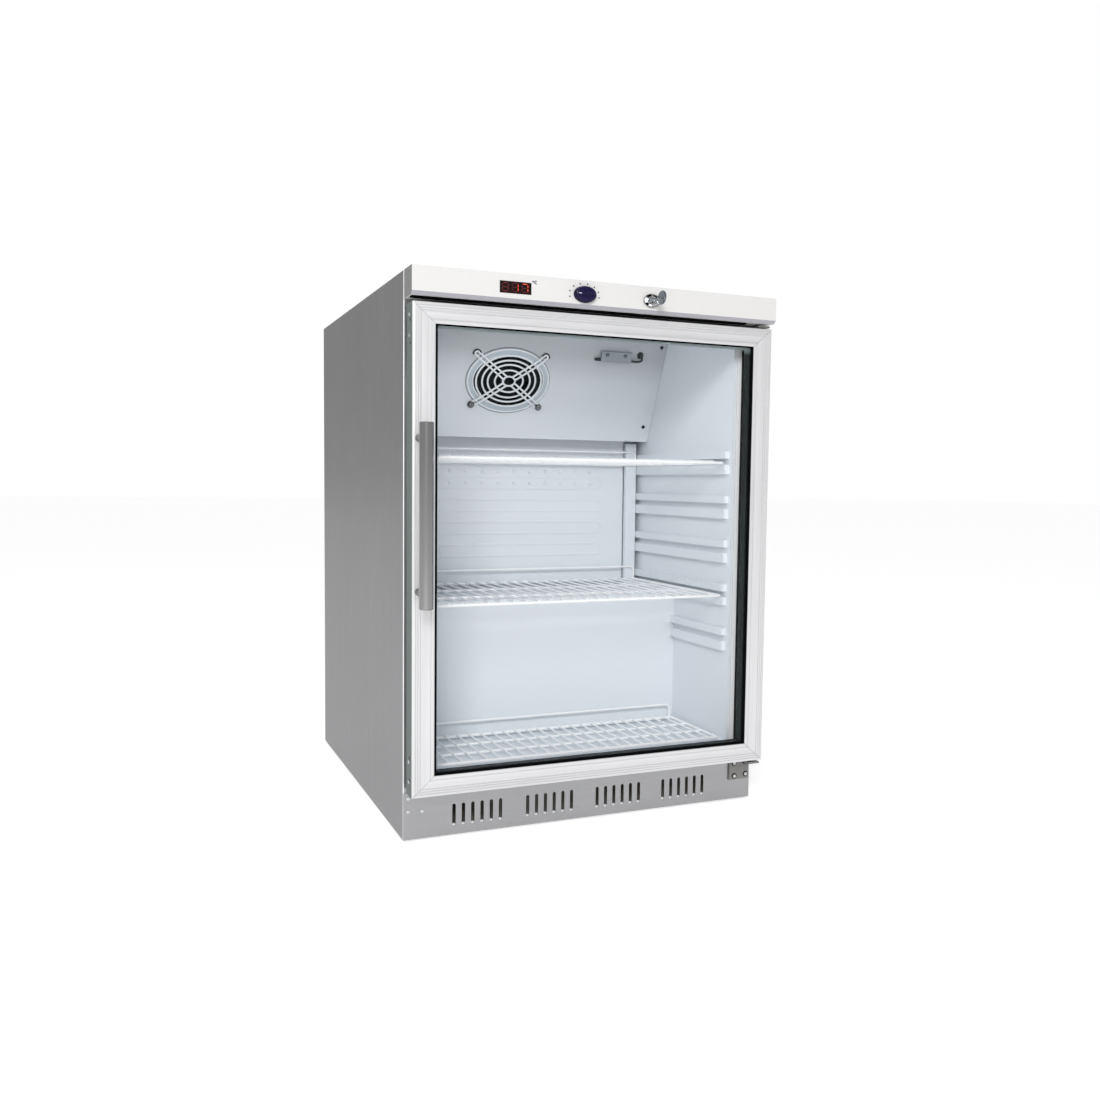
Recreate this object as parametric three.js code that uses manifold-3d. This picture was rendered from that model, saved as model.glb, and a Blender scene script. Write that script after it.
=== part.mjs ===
// Undercounter refrigerator with a glazed, framed door, a control fascia and three wire shelves.
// Millimetres. +X is to the right of a person facing the door, +Y goes back, +Z is up.
// All parts are drawn in the cabinet's own coordinates: x = 0 on the centre line, y = 0 on the
// cabinet's front face, z = 0 on the floor. The whole cabinet then moves so that the origin of the
// exported group is the bottom centre of its bounding box.

import * as THREE from 'three';
import { mergeVertices } from 'three/addons/utils/BufferGeometryUtils.js';
import Module from 'manifold-3d';

const wasm = await Module();
wasm.setup();

// ---------------------------------------------------------------- driving dimensions

const WIDTH = 608;
const DEPTH = 630;              // cabinet front face to the rear edges of the side panels
const HEIGHT = 840;
const HALF_WIDTH = WIDTH / 2;
const PANEL_BOTTOM = 3;         // the panels hang this far above the floor, on the feet
const SHEET = 1.2;              // steel sheet
const GAP = 0.3;                // clearance between touching pieces
const INNER_HALF = HALF_WIDTH - SHEET - GAP;

// door
const DOOR_HALF = 301.2;
const DOOR_BOTTOM = 76.8;
const DOOR_TOP = 791.4;
const DOOR_FRONT = -40.7;
const FRAME_DEPTH = 30;
const STILE = 34;               // face width of the upright members
const RAIL_LOW = 30.6;          // face width of the bottom member
const RAIL_HIGH = 30.2;         // face width of the top member
const REBATE = 8;               // how far the front lip reaches over the glass
const FRAME_WALL = 2;
const PANE = 4;                 // glass thickness
const PANE_FRONT = 4.6;         // front pane's face behind the door's face
const SPACER_DEPTH = 14;
const SPACER_SIGHT = 3.5;       // black edge seen inside the frame
const HINGE_X = 290;
const HINGE_Y = -28;
const PIN_RADIUS = 4;
const BUSH_BORE = 4.3;
const BUSH_RADIUS = 7;

// handle
const HANDLE_X = -292.3;
const HANDLE_Y = -83;
const HANDLE_RADIUS = 10.25;
const HANDLE_BOTTOM = 358.5;
const HANDLE_TOP = 619.4;
const HANDLE_POST_INSET = 20.5;
const POST_RADIUS = 4.5;

// control fascia
const FASCIA_BOTTOM = 799.3;
const FASCIA_FRONT = -46.6;
const FASCIA_WALL = 2.5;
const FASCIA_CHAMFER = 5;
const DISPLAY = { x: -149, z: 820, width: 49.3, height: 17.4 };
const KNOB = { x: -39, z: 818.7, halfWidth: 18.2, halfHeight: 12.3, depth: 12, ridge: 7 };
const LOCK = { x: 74.6, z: 818.2, halfWidth: 14.7, halfHeight: 10.4, barrel: 8, plug: 5.5 };
const CAM_LENGTH = 32;
const CAM_WIDTH = 12;

// insulated cavity
const CAVITY_HALF = 257;
const CAVITY_FLOOR = 99;
const CAVITY_TOP = 802;
const CAVITY_BACK = 358;
const HEADER_Z = 768;           // underside of the header above the door opening
const HEADER_DEPTH = 24;
const HUMP_FRONT = 185;
const HUMP_TOP = 335;
const LINER = 2;
const LIP = 6;                  // liner lip round the opening
const FOAM_BOTTOM = 58;
const FOAM_BACK = 561;
const FOAM_TOP = 829.5;
const NICHE_FRONT = 235;        // machine compartment under and behind the cavity's hump
const NICHE_TOP = 285;

// shelf supports: pairs of ribs with a slot between them
const SLOT_Z = [575.7, 501.2, 426.8, 352.3, 277.8];
const SLOT_HEIGHT = 10;
const RIB_DEPTH = 8;
const UPPER_RIB = 12;
const LOWER_RIB = 16;
const FLOOR_RIB_TOP = 104;

// shelves
const SHELF_HALF = 251;
const SHELF_FRONT = 12;
const SHELF_BACK = 328;
const LOW_SHELF_BACK = 176;
const FRAME_WIRE = 5;
const GRID_WIRE = 3;
const GRID_PITCH = 20.8;
const GRID_WIRES = 23;
const BACK_RAIL_HEIGHT = 24;

// sloped air cover at the top of the cavity, drawn in its own plane:
// x across, y up the slope, z out of the cover towards the door
const COVER_TILT = THREE.MathUtils.degToRad(22.5);
const COVER_BASE_Y = 300;
const COVER_BASE_Z = 618;
const COVER_HEIGHT = 197.5;
const COVER_SHEET = 1.5;
const FAN = { x: -46.5, y: 108, halfWidth: 65.8, halfHeight: 46.5 };
const FAN_RIM = 12.5;
const FAN_SCREW = { x: 64.2, y: 46.4 };
const GUARD_RINGS = [11.4, 26.5, 39.8, 50.2, 61.4];
const GUARD_WIRE = 2.6;
const GUARD_LIFT = 3.4;
const FAN_BORE = 46;
const FAN_DEPTH = 25;
const ROTOR_RADIUS = 43.5;
const PROBE_CLAMP = { x: 154, y: 163.8, width: 61, height: 19 };
const GROMMET = { x: 204.3, y: 168.5, radius: 6.8, neck: 4.7 };

// evaporator plate
const PLATE_HALF = 225;
const PLATE_FRONT = 338;
const PLATE_THICK = 1.8;
const PLATE_BOTTOM = 350;
const PLATE_TOP = 780;

// base
const PAN_Z = 18;
const FOOT_X = 270;
const FOOT_FRONT_Y = 45;
const FOOT_BACK_Y = 590;
const BASE_PANEL_TOP = 74;
const VENT = { groups: 4, perGroup: 6, first: -187.2, groupPitch: 120.1, pitch: 15, width: 5.5 };
const VENT_BOTTOM = 15.8;
const VENT_TOP = 50.3;

// machine compartment
const COMPRESSOR = { x: -95, y: 470 };
const CONDENSER = { half: 232, y: 592, bottom: 322, runs: 10, pitch: 46, tube: 6 };
const WIRE_COUNT = 7;

// origin: middle of the space between the handle's front and the rear edges
const FRONT_MOST = HANDLE_Y - HANDLE_RADIUS;
const ORIGIN_Y = (FRONT_MOST + DEPTH) / 2;

// ---------------------------------------------------------------- materials

function finish(color, roughness, metalness) {
  return new THREE.MeshStandardMaterial({ color, roughness, metalness });
}

const FINISH = {
  sideSteel: () => finish(0x6a6a6c, 0.4, 0.8),
  steel: () => finish(0x9a9a9c, 0.4, 0.9),
  galvanised: () => finish(0xa8acb0, 0.5, 0.8),
  aluminium: () => finish(0xe2e3e4, 0.35, 0.8),
  whiteSheet: () => finish(0xe6e8ea, 0.5, 0.1),
  whitePlastic: () => finish(0xf0f0ee, 0.4, 0),
  liner: () => finish(0xdfe5ec, 0.5, 0),
  foam: () => finish(0xe8dcae, 0.9, 0),
  blackRubber: () => finish(0x17191a, 0.8, 0),
  blackPlastic: () => finish(0x1b1b1e, 0.5, 0),
  navyPlastic: () => finish(0x1e1446, 0.3, 0),
  displayGlass: () => finish(0x2a1414, 0.15, 0),
  glass: () => new THREE.MeshStandardMaterial({
    color: 0xe8f2f2, roughness: 0.05, metalness: 0, transparent: true, opacity: 0.3,
  }),
  chrome: () => finish(0xc8cacc, 0.15, 1),
  brushedSteel: () => finish(0x8c8c8a, 0.3, 0.95),
  coatedWire: () => finish(0xf2f4f6, 0.45, 0),
  greyPlastic: () => finish(0x8f979b, 0.55, 0),
  blackEnamel: () => finish(0x151516, 0.4, 0.3),
  copper: () => finish(0xb87444, 0.35, 0.9),
  nylon: () => finish(0xdad8d0, 0.6, 0),
};

// ---------------------------------------------------------------- solids

function toSolid(geometry) {
  const bare = geometry.clone();
  bare.deleteAttribute('normal');
  bare.deleteAttribute('uv');
  const merged = mergeVertices(bare);
  return new wasm.Manifold(new wasm.Mesh({
    numProp: 3,
    vertProperties: new Float32Array(merged.attributes.position.array),
    triVerts: new Uint32Array(merged.index.array),
  }));
}

function toGeometry(solid) {
  const mesh = solid.getMesh();
  const geometry = new THREE.BufferGeometry();
  geometry.setAttribute('position', new THREE.BufferAttribute(mesh.vertProperties, 3));
  geometry.setIndex(new THREE.BufferAttribute(mesh.triVerts, 1));
  geometry.computeVertexNormals();
  return geometry;
}

function join(first, ...rest) {
  return toGeometry(rest.reduce((solid, other) => solid.add(toSolid(other)), toSolid(first)));
}

function cut(first, ...tools) {
  return toGeometry(tools.reduce((solid, tool) => solid.subtract(toSolid(tool)), toSolid(first)));
}

function range(count) {
  return Array.from({ length: count }, (_, i) => i);
}

function box([x0, y0, z0], [x1, y1, z1]) {
  return new THREE.BoxGeometry(x1 - x0, y1 - y0, z1 - z0)
    .translate((x0 + x1) / 2, (y0 + y1) / 2, (z0 + z1) / 2);
}

// A box that reaches equally far to the left and to the right of the centre line.
function slab(half, y0, y1, z0, z1) {
  return box([-half, y0, z0], [half, y1, z1]);
}

// A cylinder along one axis; a and b are its place on the two other axes, in X, Y, Z order.
function rod(axis, radius, from, to, a, b, sides = 20) {
  const geometry = new THREE.CylinderGeometry(radius, radius, to - from, sides);
  const middle = (from + to) / 2;
  if (axis === 'x') return geometry.rotateZ(-Math.PI / 2).translate(middle, a, b);
  if (axis === 'y') return geometry.translate(a, middle, b);
  return geometry.rotateX(Math.PI / 2).translate(a, b, middle);
}

function polygon(points) {
  return new THREE.Shape(points.map(([x, y]) => new THREE.Vector2(x, y)));
}

function rectangle(x0, y0, x1, y1) {
  return polygon([[x0, y0], [x1, y0], [x1, y1], [x0, y1]]);
}

function ellipse(x, y, halfX, halfY) {
  return new THREE.Shape().absellipse(x, y, halfX, halfY, 0, Math.PI * 2);
}

function stadium(x, y0, y1, width) {
  const r = width / 2;
  const shape = new THREE.Shape();
  shape.moveTo(x + r, y0 + r);
  shape.lineTo(x + r, y1 - r);
  shape.absarc(x, y1 - r, r, 0, Math.PI);
  shape.lineTo(x - r, y0 + r);
  shape.absarc(x, y0 + r, r, Math.PI, Math.PI * 2);
  return shape;
}

function withHoles(shape, ...holes) {
  shape.holes.push(...holes);
  return shape;
}

function extrude(shape, depth, curveSegments = 8) {
  return new THREE.ExtrudeGeometry(shape, { depth, bevelEnabled: false, curveSegments });
}

// A shape drawn in X and Y, standing from z0 to z1.
function extrudeZ(shape, z0, z1, curveSegments) {
  return extrude(shape, z1 - z0, curveSegments).translate(0, 0, z0);
}

// A shape drawn in X and Z, reaching from y0 to y1.
function extrudeY(shape, y0, y1, curveSegments) {
  return extrude(shape, y1 - y0, curveSegments).rotateX(Math.PI / 2).translate(0, y1, 0);
}

// A shape drawn in Y and Z, reaching from x0 to x1.
function extrudeX(shape, x0, x1, curveSegments) {
  const turn = new THREE.Matrix4().makeBasis(
    new THREE.Vector3(0, 1, 0),
    new THREE.Vector3(0, 0, 1),
    new THREE.Vector3(1, 0, 0),
  );
  return extrude(shape, x1 - x0, curveSegments).applyMatrix4(turn).translate(x0, 0, 0);
}

// A round bar or tube of constant radius along a smooth curve through the points.
function barAlong(points, radius, steps, sides = 8) {
  const curve = new THREE.CatmullRomCurve3(points.map((p) => new THREE.Vector3(...p)));
  const section = new THREE.Shape(range(sides).map((i) => {
    const angle = i * Math.PI * 2 / sides;
    return new THREE.Vector2(radius * Math.cos(angle), radius * Math.sin(angle));
  }));
  return new THREE.ExtrudeGeometry(section, { steps, extrudePath: curve, bevelEnabled: false });
}

function mirrorX(geometry) {
  const mirrored = geometry.clone().scale(-1, 1, 1);
  const index = mirrored.index;
  const flat = index ? mirrored.toNonIndexed() : mirrored;
  const position = flat.attributes.position;
  for (let i = 0; i < position.count; i += 3) {
    const [x, y, z] = [position.getX(i), position.getY(i), position.getZ(i)];
    position.setXYZ(i, position.getX(i + 1), position.getY(i + 1), position.getZ(i + 1));
    position.setXYZ(i + 1, x, y, z);
  }
  flat.computeVertexNormals();
  return flat;
}

// ---------------------------------------------------------------- assembly

const refrigerator = new THREE.Group();
const cabinet = new THREE.Group();
cabinet.position.y = -ORIGIN_Y;
refrigerator.add(cabinet);

// Everything fixed to the sloped cover is drawn in the cover's plane.
const coverPlane = new THREE.Group();
coverPlane.rotation.x = Math.PI / 2 + COVER_TILT;
coverPlane.position.set(0, COVER_BASE_Y, COVER_BASE_Z);
cabinet.add(coverPlane);

function add(name, geometry, material, parent = cabinet) {
  const mesh = new THREE.Mesh(geometry, material());
  mesh.name = name;
  parent.add(mesh);
}

// ---------------------------------------------------------------- cabinet shell

function addShell() {
  const flange = CAVITY_HALF + LIP + GAP;
  const rearFlange = 15;
  const left = extrudeZ(polygon([
    [-HALF_WIDTH, 0],
    [-flange, 0],
    [-flange, SHEET],
    [-HALF_WIDTH + SHEET, SHEET],
    [-HALF_WIDTH + SHEET, DEPTH - SHEET],
    [-HALF_WIDTH + rearFlange, DEPTH - SHEET],
    [-HALF_WIDTH + rearFlange, DEPTH],
    [-HALF_WIDTH, DEPTH],
  ]), PANEL_BOTTOM, HEIGHT - SHEET - GAP);
  add('left_side_panel', left, FINISH.sideSteel);
  add('right_side_panel', mirrorX(left), FINISH.sideSteel);

  const lipDrop = 9;
  const topUnder = HEIGHT - SHEET;
  const lipBottom = topUnder - lipDrop;
  const lipFront = SHEET + GAP;
  // the end lips stop inside the side lips, and sit a little further in
  const lipBack = DEPTH - lipFront;
  const step = 0.2;
  const endLip = (y) => slab(
    INNER_HALF - SHEET / 2, y, y + SHEET, lipBottom + step, topUnder + SHEET / 2,
  );
  const sideLip = (x) => box([x, lipFront, lipBottom], [x + SHEET, lipBack, topUnder + SHEET / 2]);
  add('top_cover', join(
    slab(HALF_WIDTH, 0, DEPTH, topUnder, HEIGHT),
    sideLip(-INNER_HALF),
    sideLip(INNER_HALF - SHEET),
    endLip(lipFront + step),
    endLip(lipBack - SHEET - step),
  ), FINISH.sideSteel);

  add('back_panel', slab(
    INNER_HALF, FOAM_BACK + GAP, FOAM_BACK + GAP + SHEET, NICHE_TOP, lipBottom - GAP,
  ), FINISH.galvanised);

  add('upper_front_rail', slab(CAVITY_HALF + LIP, 0, SHEET, HEADER_Z + LIP + GAP, topUnder - GAP),
    FINISH.steel);
  add('lower_front_rail', slab(CAVITY_HALF + LIP, 0, SHEET, FOAM_BOTTOM, CAVITY_FLOOR - LIP - GAP),
    FINISH.steel);
}

function addBase() {
  const slots = range(VENT.groups).flatMap((group) => range(VENT.perGroup).map((i) => {
    const middle = VENT.first + group * VENT.groupPitch;
    const x = middle + (i - (VENT.perGroup - 1) / 2) * VENT.pitch;
    return stadium(x, VENT_BOTTOM, VENT_TOP, VENT.width);
  }));
  const face = rectangle(-HALF_WIDTH + GAP, PANEL_BOTTOM, HALF_WIDTH - GAP, BASE_PANEL_TOP);
  add('base_panel', extrudeY(withHoles(face, ...slots), -SHEET - GAP, -GAP, 2), FINISH.steel);

  const panFront = SHEET + GAP;
  const panBack = DEPTH - SHEET - GAP;
  const lipTop = PAN_Z + 20;
  const footHoles = [-FOOT_X, FOOT_X].flatMap((x) => [FOOT_FRONT_Y, FOOT_BACK_Y].map(
    (y) => box([x - 6, y - 6, PAN_Z - 5], [x + 6, y + 6, PAN_Z + 5]),
  ));
  const wall = INNER_HALF - SHEET;
  const pan = join(
    extrudeY(polygon([
      [-INNER_HALF, PAN_Z],
      [INNER_HALF, PAN_Z],
      [INNER_HALF, lipTop],
      [wall, lipTop],
      [wall, PAN_Z + SHEET],
      [-wall, PAN_Z + SHEET],
      [-wall, lipTop],
      [-INNER_HALF, lipTop],
    ]), panFront, panBack),
    slab(wall + SHEET / 2, panBack - 2 * SHEET, panBack - SHEET, PAN_Z + SHEET / 2, lipTop - 1),
  );
  add('base_pan', cut(pan, ...footHoles), FINISH.galvanised);

  const sides = { left: -FOOT_X, right: FOOT_X };
  const rows = { front: FOOT_FRONT_Y, back: FOOT_BACK_Y };
  Object.entries(sides).forEach(([side, x]) => {
    Object.entries(rows).forEach(([row, y]) => {
      add(`foot_${row}_${side}`, join(
        rod('z', 16, 0, 8, x, y, 20),
        rod('z', 8.5, 7.5, 15, x, y, 6),
        rod('z', 5, 14.5, 46, x, y, 12),
      ), FINISH.blackPlastic);
    });
  });

  add('machine_compartment_wall', extrudeX(polygon([
    [NICHE_FRONT + GAP, FOAM_BOTTOM],
    [NICHE_FRONT + GAP + SHEET, FOAM_BOTTOM],
    [NICHE_FRONT + GAP + SHEET, NICHE_TOP - GAP - SHEET],
    [FOAM_BACK, NICHE_TOP - GAP - SHEET],
    [FOAM_BACK, NICHE_TOP - GAP],
    [NICHE_FRONT + GAP, NICHE_TOP - GAP],
  ]), -INNER_HALF, INNER_HALF), FINISH.galvanised);
}

// ---------------------------------------------------------------- insulated body

// Side outline of the cavity in Y and Z, grown outwards by a margin.
function cavityOutline(margin, front) {
  return polygon([
    [front, CAVITY_FLOOR - margin],
    [HUMP_FRONT + margin, CAVITY_FLOOR - margin],
    [HUMP_FRONT + margin, HUMP_TOP - margin],
    [CAVITY_BACK + margin, HUMP_TOP - margin],
    [CAVITY_BACK + margin, CAVITY_TOP + margin],
    [HEADER_DEPTH - margin, CAVITY_TOP + margin],
    [HEADER_DEPTH - margin, HEADER_Z + margin],
    [front, HEADER_Z + margin],
  ]);
}

function ribs(side) {
  const inner = side * (CAVITY_HALF - RIB_DEPTH);
  const outer = side * (CAVITY_HALF + LINER / 2);
  const [x0, x1] = [Math.min(inner, outer), Math.max(inner, outer)];
  const ribFront = 10;
  const levels = SLOT_Z.flatMap((z) => {
    const aboveHump = z > HUMP_TOP;
    const back = aboveHump ? CAVITY_BACK + LINER / 2 : HUMP_FRONT + LINER / 2;
    const lowest = aboveHump ? HUMP_TOP - LINER / 2 : CAVITY_FLOOR;
    const slotTop = z + SLOT_HEIGHT / 2;
    const slotBottom = z - SLOT_HEIGHT / 2;
    return [
      box([x0, ribFront, slotTop], [x1, back, slotTop + UPPER_RIB]),
      box([x0, ribFront, Math.max(slotBottom - LOWER_RIB, lowest)], [x1, back, slotBottom]),
    ];
  });
  const floorRib = box(
    [x0, ribFront, CAVITY_FLOOR - LINER / 2],
    [x1, HUMP_FRONT + LINER / 2, FLOOR_RIB_TOP],
  );
  return [...levels, floorRib];
}

function addInsulatedBody() {
  const lipHalf = CAVITY_HALF + LIP;
  const shell = join(
    extrudeX(cavityOutline(LINER, 0), -CAVITY_HALF - LINER, CAVITY_HALF + LINER),
    slab(lipHalf, 0, LINER, CAVITY_FLOOR - LIP, HEADER_Z + LIP),
  );
  const hollow = cut(shell, extrudeX(cavityOutline(0, -1), -CAVITY_HALF, CAVITY_HALF));
  add('inner_liner', join(hollow, ...ribs(-1), ...ribs(1)), FINISH.liner);

  const foamFront = LINER + GAP;
  const block = extrudeX(polygon([
    [foamFront, FOAM_BOTTOM],
    [NICHE_FRONT, FOAM_BOTTOM],
    [NICHE_FRONT, NICHE_TOP],
    [FOAM_BACK, NICHE_TOP],
    [FOAM_BACK, FOAM_TOP],
    [foamFront, FOAM_TOP],
  ]), -INNER_HALF, INNER_HALF);
  const margin = LINER + GAP;
  add('insulation', cut(
    block,
    extrudeX(cavityOutline(margin, -1), -CAVITY_HALF - margin, CAVITY_HALF + margin),
  ), FINISH.foam);
}

// ---------------------------------------------------------------- evaporator and fan

function addEvaporatorPlate() {
  const channelHeight = 9;
  const proud = 1.2;
  const front = PLATE_FRONT - proud;
  const into = PLATE_FRONT + PLATE_THICK / 2;
  const lines = range(4).map((i) => {
    const bottom = PLATE_BOTTOM + 60 + i * 40;
    return slab(PLATE_HALF - 40, front, into, bottom, bottom + channelHeight);
  });
  const studs = [-1, 1].flatMap((side) => [PLATE_BOTTOM + 30, PLATE_TOP - 30].map((z) => rod(
    'y', 5, into, CAVITY_BACK - GAP, side * (PLATE_HALF - 20), z, 12,
  )));
  add('evaporator_plate', join(
    slab(PLATE_HALF, PLATE_FRONT, PLATE_FRONT + PLATE_THICK, PLATE_BOTTOM, PLATE_TOP),
    ...lines,
    ...studs,
  ), FINISH.whiteSheet);

  const [x0, x1] = [226, 248];
  const depth = 8;
  const wall = 1.2;
  const outerFace = PLATE_FRONT - 2 - depth;
  add('drain_channel', extrudeZ(polygon([
    [x0, outerFace],
    [x1, outerFace],
    [x1, outerFace + depth],
    [x1 - wall, outerFace + depth],
    [x1 - wall, outerFace + wall],
    [x0 + wall, outerFace + wall],
    [x0 + wall, outerFace + depth],
    [x0, outerFace + depth],
  ]), HUMP_TOP + 2, COVER_BASE_Z - 4), FINISH.whitePlastic);
}

function addAirCover() {
  const coverHalf = CAVITY_HALF - 0.5;
  const plate = extrudeZ(withHoles(
    rectangle(-coverHalf, 0, coverHalf, COVER_HEIGHT),
    ellipse(FAN.x, FAN.y, FAN.halfWidth, FAN.halfHeight),
    ellipse(GROMMET.x, GROMMET.y, GROMMET.neck + GAP, GROMMET.neck + GAP),
  ), -COVER_SHEET, 0, 12);
  const rim = extrudeZ(withHoles(
    ellipse(FAN.x, FAN.y, FAN.halfWidth + FAN_RIM, FAN.halfHeight + FAN_RIM),
    ellipse(FAN.x, FAN.y, FAN.halfWidth, FAN.halfHeight),
  ), -COVER_SHEET, 2, 12);
  const lip = box([-coverHalf, 0, -14], [coverHalf, COVER_SHEET, 0]);
  add('evaporator_cover', join(plate, rim, lip), FINISH.whiteSheet, coverPlane);
}

function addFan() {
  const housingFront = -COVER_SHEET - GAP;
  const housingBack = housingFront - FAN_DEPTH;
  const halfX = 76;
  const halfY = 57;
  const frame = extrudeZ(withHoles(
    rectangle(FAN.x - halfX, FAN.y - halfY, FAN.x + halfX, FAN.y + halfY),
    ellipse(FAN.x, FAN.y, FAN_BORE, FAN_BORE),
  ), housingBack, housingFront, 16);
  const spoke = (angle) => box([0, -2.5, housingBack], [FAN_BORE + 2, 2.5, housingBack + 3])
    .rotateZ(angle).translate(FAN.x, FAN.y, 0);
  const hub = extrudeZ(withHoles(
    ellipse(FAN.x, FAN.y, 18, 18),
    ellipse(FAN.x, FAN.y, 3.6, 3.6),
  ), housingBack, housingBack + 3, 8);
  const spokes = range(3).map((i) => cut(
    spoke(Math.PI / 2 + i * Math.PI * 2 / 3),
    rod('z', 10, housingBack - 1, housingBack + 4, FAN.x, FAN.y, 16),
  ));
  add('fan_housing', join(frame, hub, ...spokes), FINISH.blackPlastic, coverPlane);

  const rotorBack = housingBack + 3 + GAP;
  const rotorFront = housingFront - 3;
  const blade = (angle) => box([10, -1.2, rotorBack + 2], [ROTOR_RADIUS, 1.2, rotorFront - 1])
    .translate(0, 0, -(rotorBack + rotorFront) / 2)
    .rotateX(THREE.MathUtils.degToRad(48))
    .translate(0, 0, (rotorBack + rotorFront) / 2)
    .rotateZ(angle)
    .translate(FAN.x, FAN.y, 0);
  add('fan_rotor', join(
    rod('z', 17, rotorBack, rotorFront, FAN.x, FAN.y, 20),
    rod('z', 3, housingBack + GAP, rotorBack + 1, FAN.x, FAN.y, 12),
    ...range(5).map((i) => blade(i * Math.PI * 2 / 5)),
  ), FINISH.blackPlastic, coverPlane);

  add('fan_motor', rod('z', 19, housingBack - 28, housingBack - GAP, FAN.x, FAN.y, 20),
    FINISH.blackEnamel, coverPlane);
}

function addFanGuard() {
  const aspect = (FAN.halfHeight + FAN_RIM) / (FAN.halfWidth + FAN_RIM);
  const low = GUARD_LIFT;
  const high = GUARD_LIFT + GUARD_WIRE;
  const half = GUARD_WIRE / 2;
  const rings = GUARD_RINGS.map((a) => extrudeZ(withHoles(
    ellipse(FAN.x, FAN.y, a + half, a * aspect + half),
    ellipse(FAN.x, FAN.y, a - half, a * aspect - half),
  ), low, high, 6));
  const reach = Math.hypot(FAN_SCREW.x, FAN_SCREW.y);
  const start = GUARD_RINGS[0] * 0.85;
  const slope = Math.atan2(FAN_SCREW.y, FAN_SCREW.x);
  const wireSpread = 3;
  const arms = [slope, Math.PI - slope, Math.PI + slope, -slope].flatMap((angle) => [
    ...[-wireSpread, wireSpread].map((offset) => box(
      [start, offset - half, high - 1], [reach, offset + half, high - 1 + GUARD_WIRE],
    ).rotateZ(angle).translate(FAN.x, FAN.y, 0)),
    box([reach - GUARD_WIRE, -wireSpread, GAP], [reach, wireSpread, high]).rotateZ(angle)
      .translate(FAN.x, FAN.y, 0),
  ]);
  add('fan_guard', join(...rings, ...arms), FINISH.chrome, coverPlane);
}

function addProbe() {
  const clampX0 = PROBE_CLAMP.x - PROBE_CLAMP.width / 2;
  const clampX1 = PROBE_CLAMP.x + PROBE_CLAMP.width / 2;
  const clampY0 = PROBE_CLAMP.y - PROBE_CLAMP.height / 2;
  const clampY1 = PROBE_CLAMP.y + PROBE_CLAMP.height / 2;
  const probeY = clampY0 + 3.2;
  const probeZ = 3.4;
  const probeRadius = 2.9;
  const channel = box(
    [clampX0 - 1, clampY0 - 1, -1],
    [clampX1 + 1, probeY + probeRadius + GAP, probeZ + probeRadius + GAP],
  );
  add('probe_clamp', cut(
    box([clampX0, clampY0, GAP], [clampX1, clampY1, 8.6]), channel,
  ), FINISH.greyPlastic, coverPlane);
  add('temperature_probe', rod('x', probeRadius, clampX0 - 11, clampX1 - 14, probeY, probeZ, 12),
    FINISH.blackRubber, coverPlane);

  const cableStart = clampX1 - 14 + GAP;
  add('probe_cable', barAlong([
    [cableStart, probeY, probeZ],
    [cableStart + 12, probeY, probeZ],
    [GROMMET.x - 6, probeY, probeZ + 2],
    [GROMMET.x + 1.5, probeY + 3.5, probeZ + 3.5],
    [GROMMET.x + 0.6, GROMMET.y - 1.8, probeZ + 2.6],
    [GROMMET.x, GROMMET.y, 2],
    [GROMMET.x, GROMMET.y, -12],
  ], 1.9, 20), FINISH.blackRubber, coverPlane);

  const bore = 2.9;
  add('cable_grommet', join(
    extrudeZ(withHoles(
      ellipse(GROMMET.x, GROMMET.y, GROMMET.neck, GROMMET.neck),
      ellipse(GROMMET.x, GROMMET.y, bore, bore),
    ), -3.5, 0.6, 5),
    extrudeZ(withHoles(
      ellipse(GROMMET.x, GROMMET.y, GROMMET.radius, GROMMET.radius),
      ellipse(GROMMET.x, GROMMET.y, bore, bore),
    ), GAP, 1.6, 5),
  ), FINISH.blackRubber, coverPlane);
}

// ---------------------------------------------------------------- control fascia

function addFascia() {
  const chamferY = FASCIA_FRONT + FASCIA_CHAMFER;
  const chamferZ = FASCIA_BOTTOM + FASCIA_CHAMFER;
  const outer = extrudeX(polygon([
    [-GAP, FASCIA_BOTTOM],
    [-GAP, HEIGHT],
    [FASCIA_FRONT, HEIGHT],
    [FASCIA_FRONT, chamferZ],
    [chamferY, FASCIA_BOTTOM],
  ].reverse()), -HALF_WIDTH, HALF_WIDTH);
  const inset = FASCIA_WALL;
  const inner = extrudeX(polygon([
    [1, FASCIA_BOTTOM + inset],
    [1, HEIGHT - inset],
    [FASCIA_FRONT + inset, HEIGHT - inset],
    [FASCIA_FRONT + inset, chamferZ + 1],
    [chamferY + 1, FASCIA_BOTTOM + inset],
  ].reverse()), -HALF_WIDTH + inset, HALF_WIDTH - inset);
  const front = FASCIA_FRONT - 1;
  const back = FASCIA_FRONT + inset + 1;
  const window = box(
    [DISPLAY.x - DISPLAY.width / 2, front, DISPLAY.z - DISPLAY.height / 2],
    [DISPLAY.x + DISPLAY.width / 2, back, DISPLAY.z + DISPLAY.height / 2],
  );
  const below = FASCIA_BOTTOM - 1;
  const above = FASCIA_BOTTOM + inset + 1;
  const camSlot = box([LOCK.x - 9, -22.5, below], [LOCK.x + CAM_LENGTH, -14.5, above]);
  const hingeNotch = box([HINGE_X - 30, -4.2, below], [HINGE_X + 11.5, 1, above]);
  add('control_fascia', cut(
    outer,
    inner,
    window,
    rod('y', 3.6, front, back, KNOB.x, KNOB.z, 16),
    rod('y', LOCK.barrel + GAP, front, back, LOCK.x, LOCK.z, 20),
    camSlot,
    hingeNotch,
  ), FINISH.whitePlastic);
}

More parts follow.
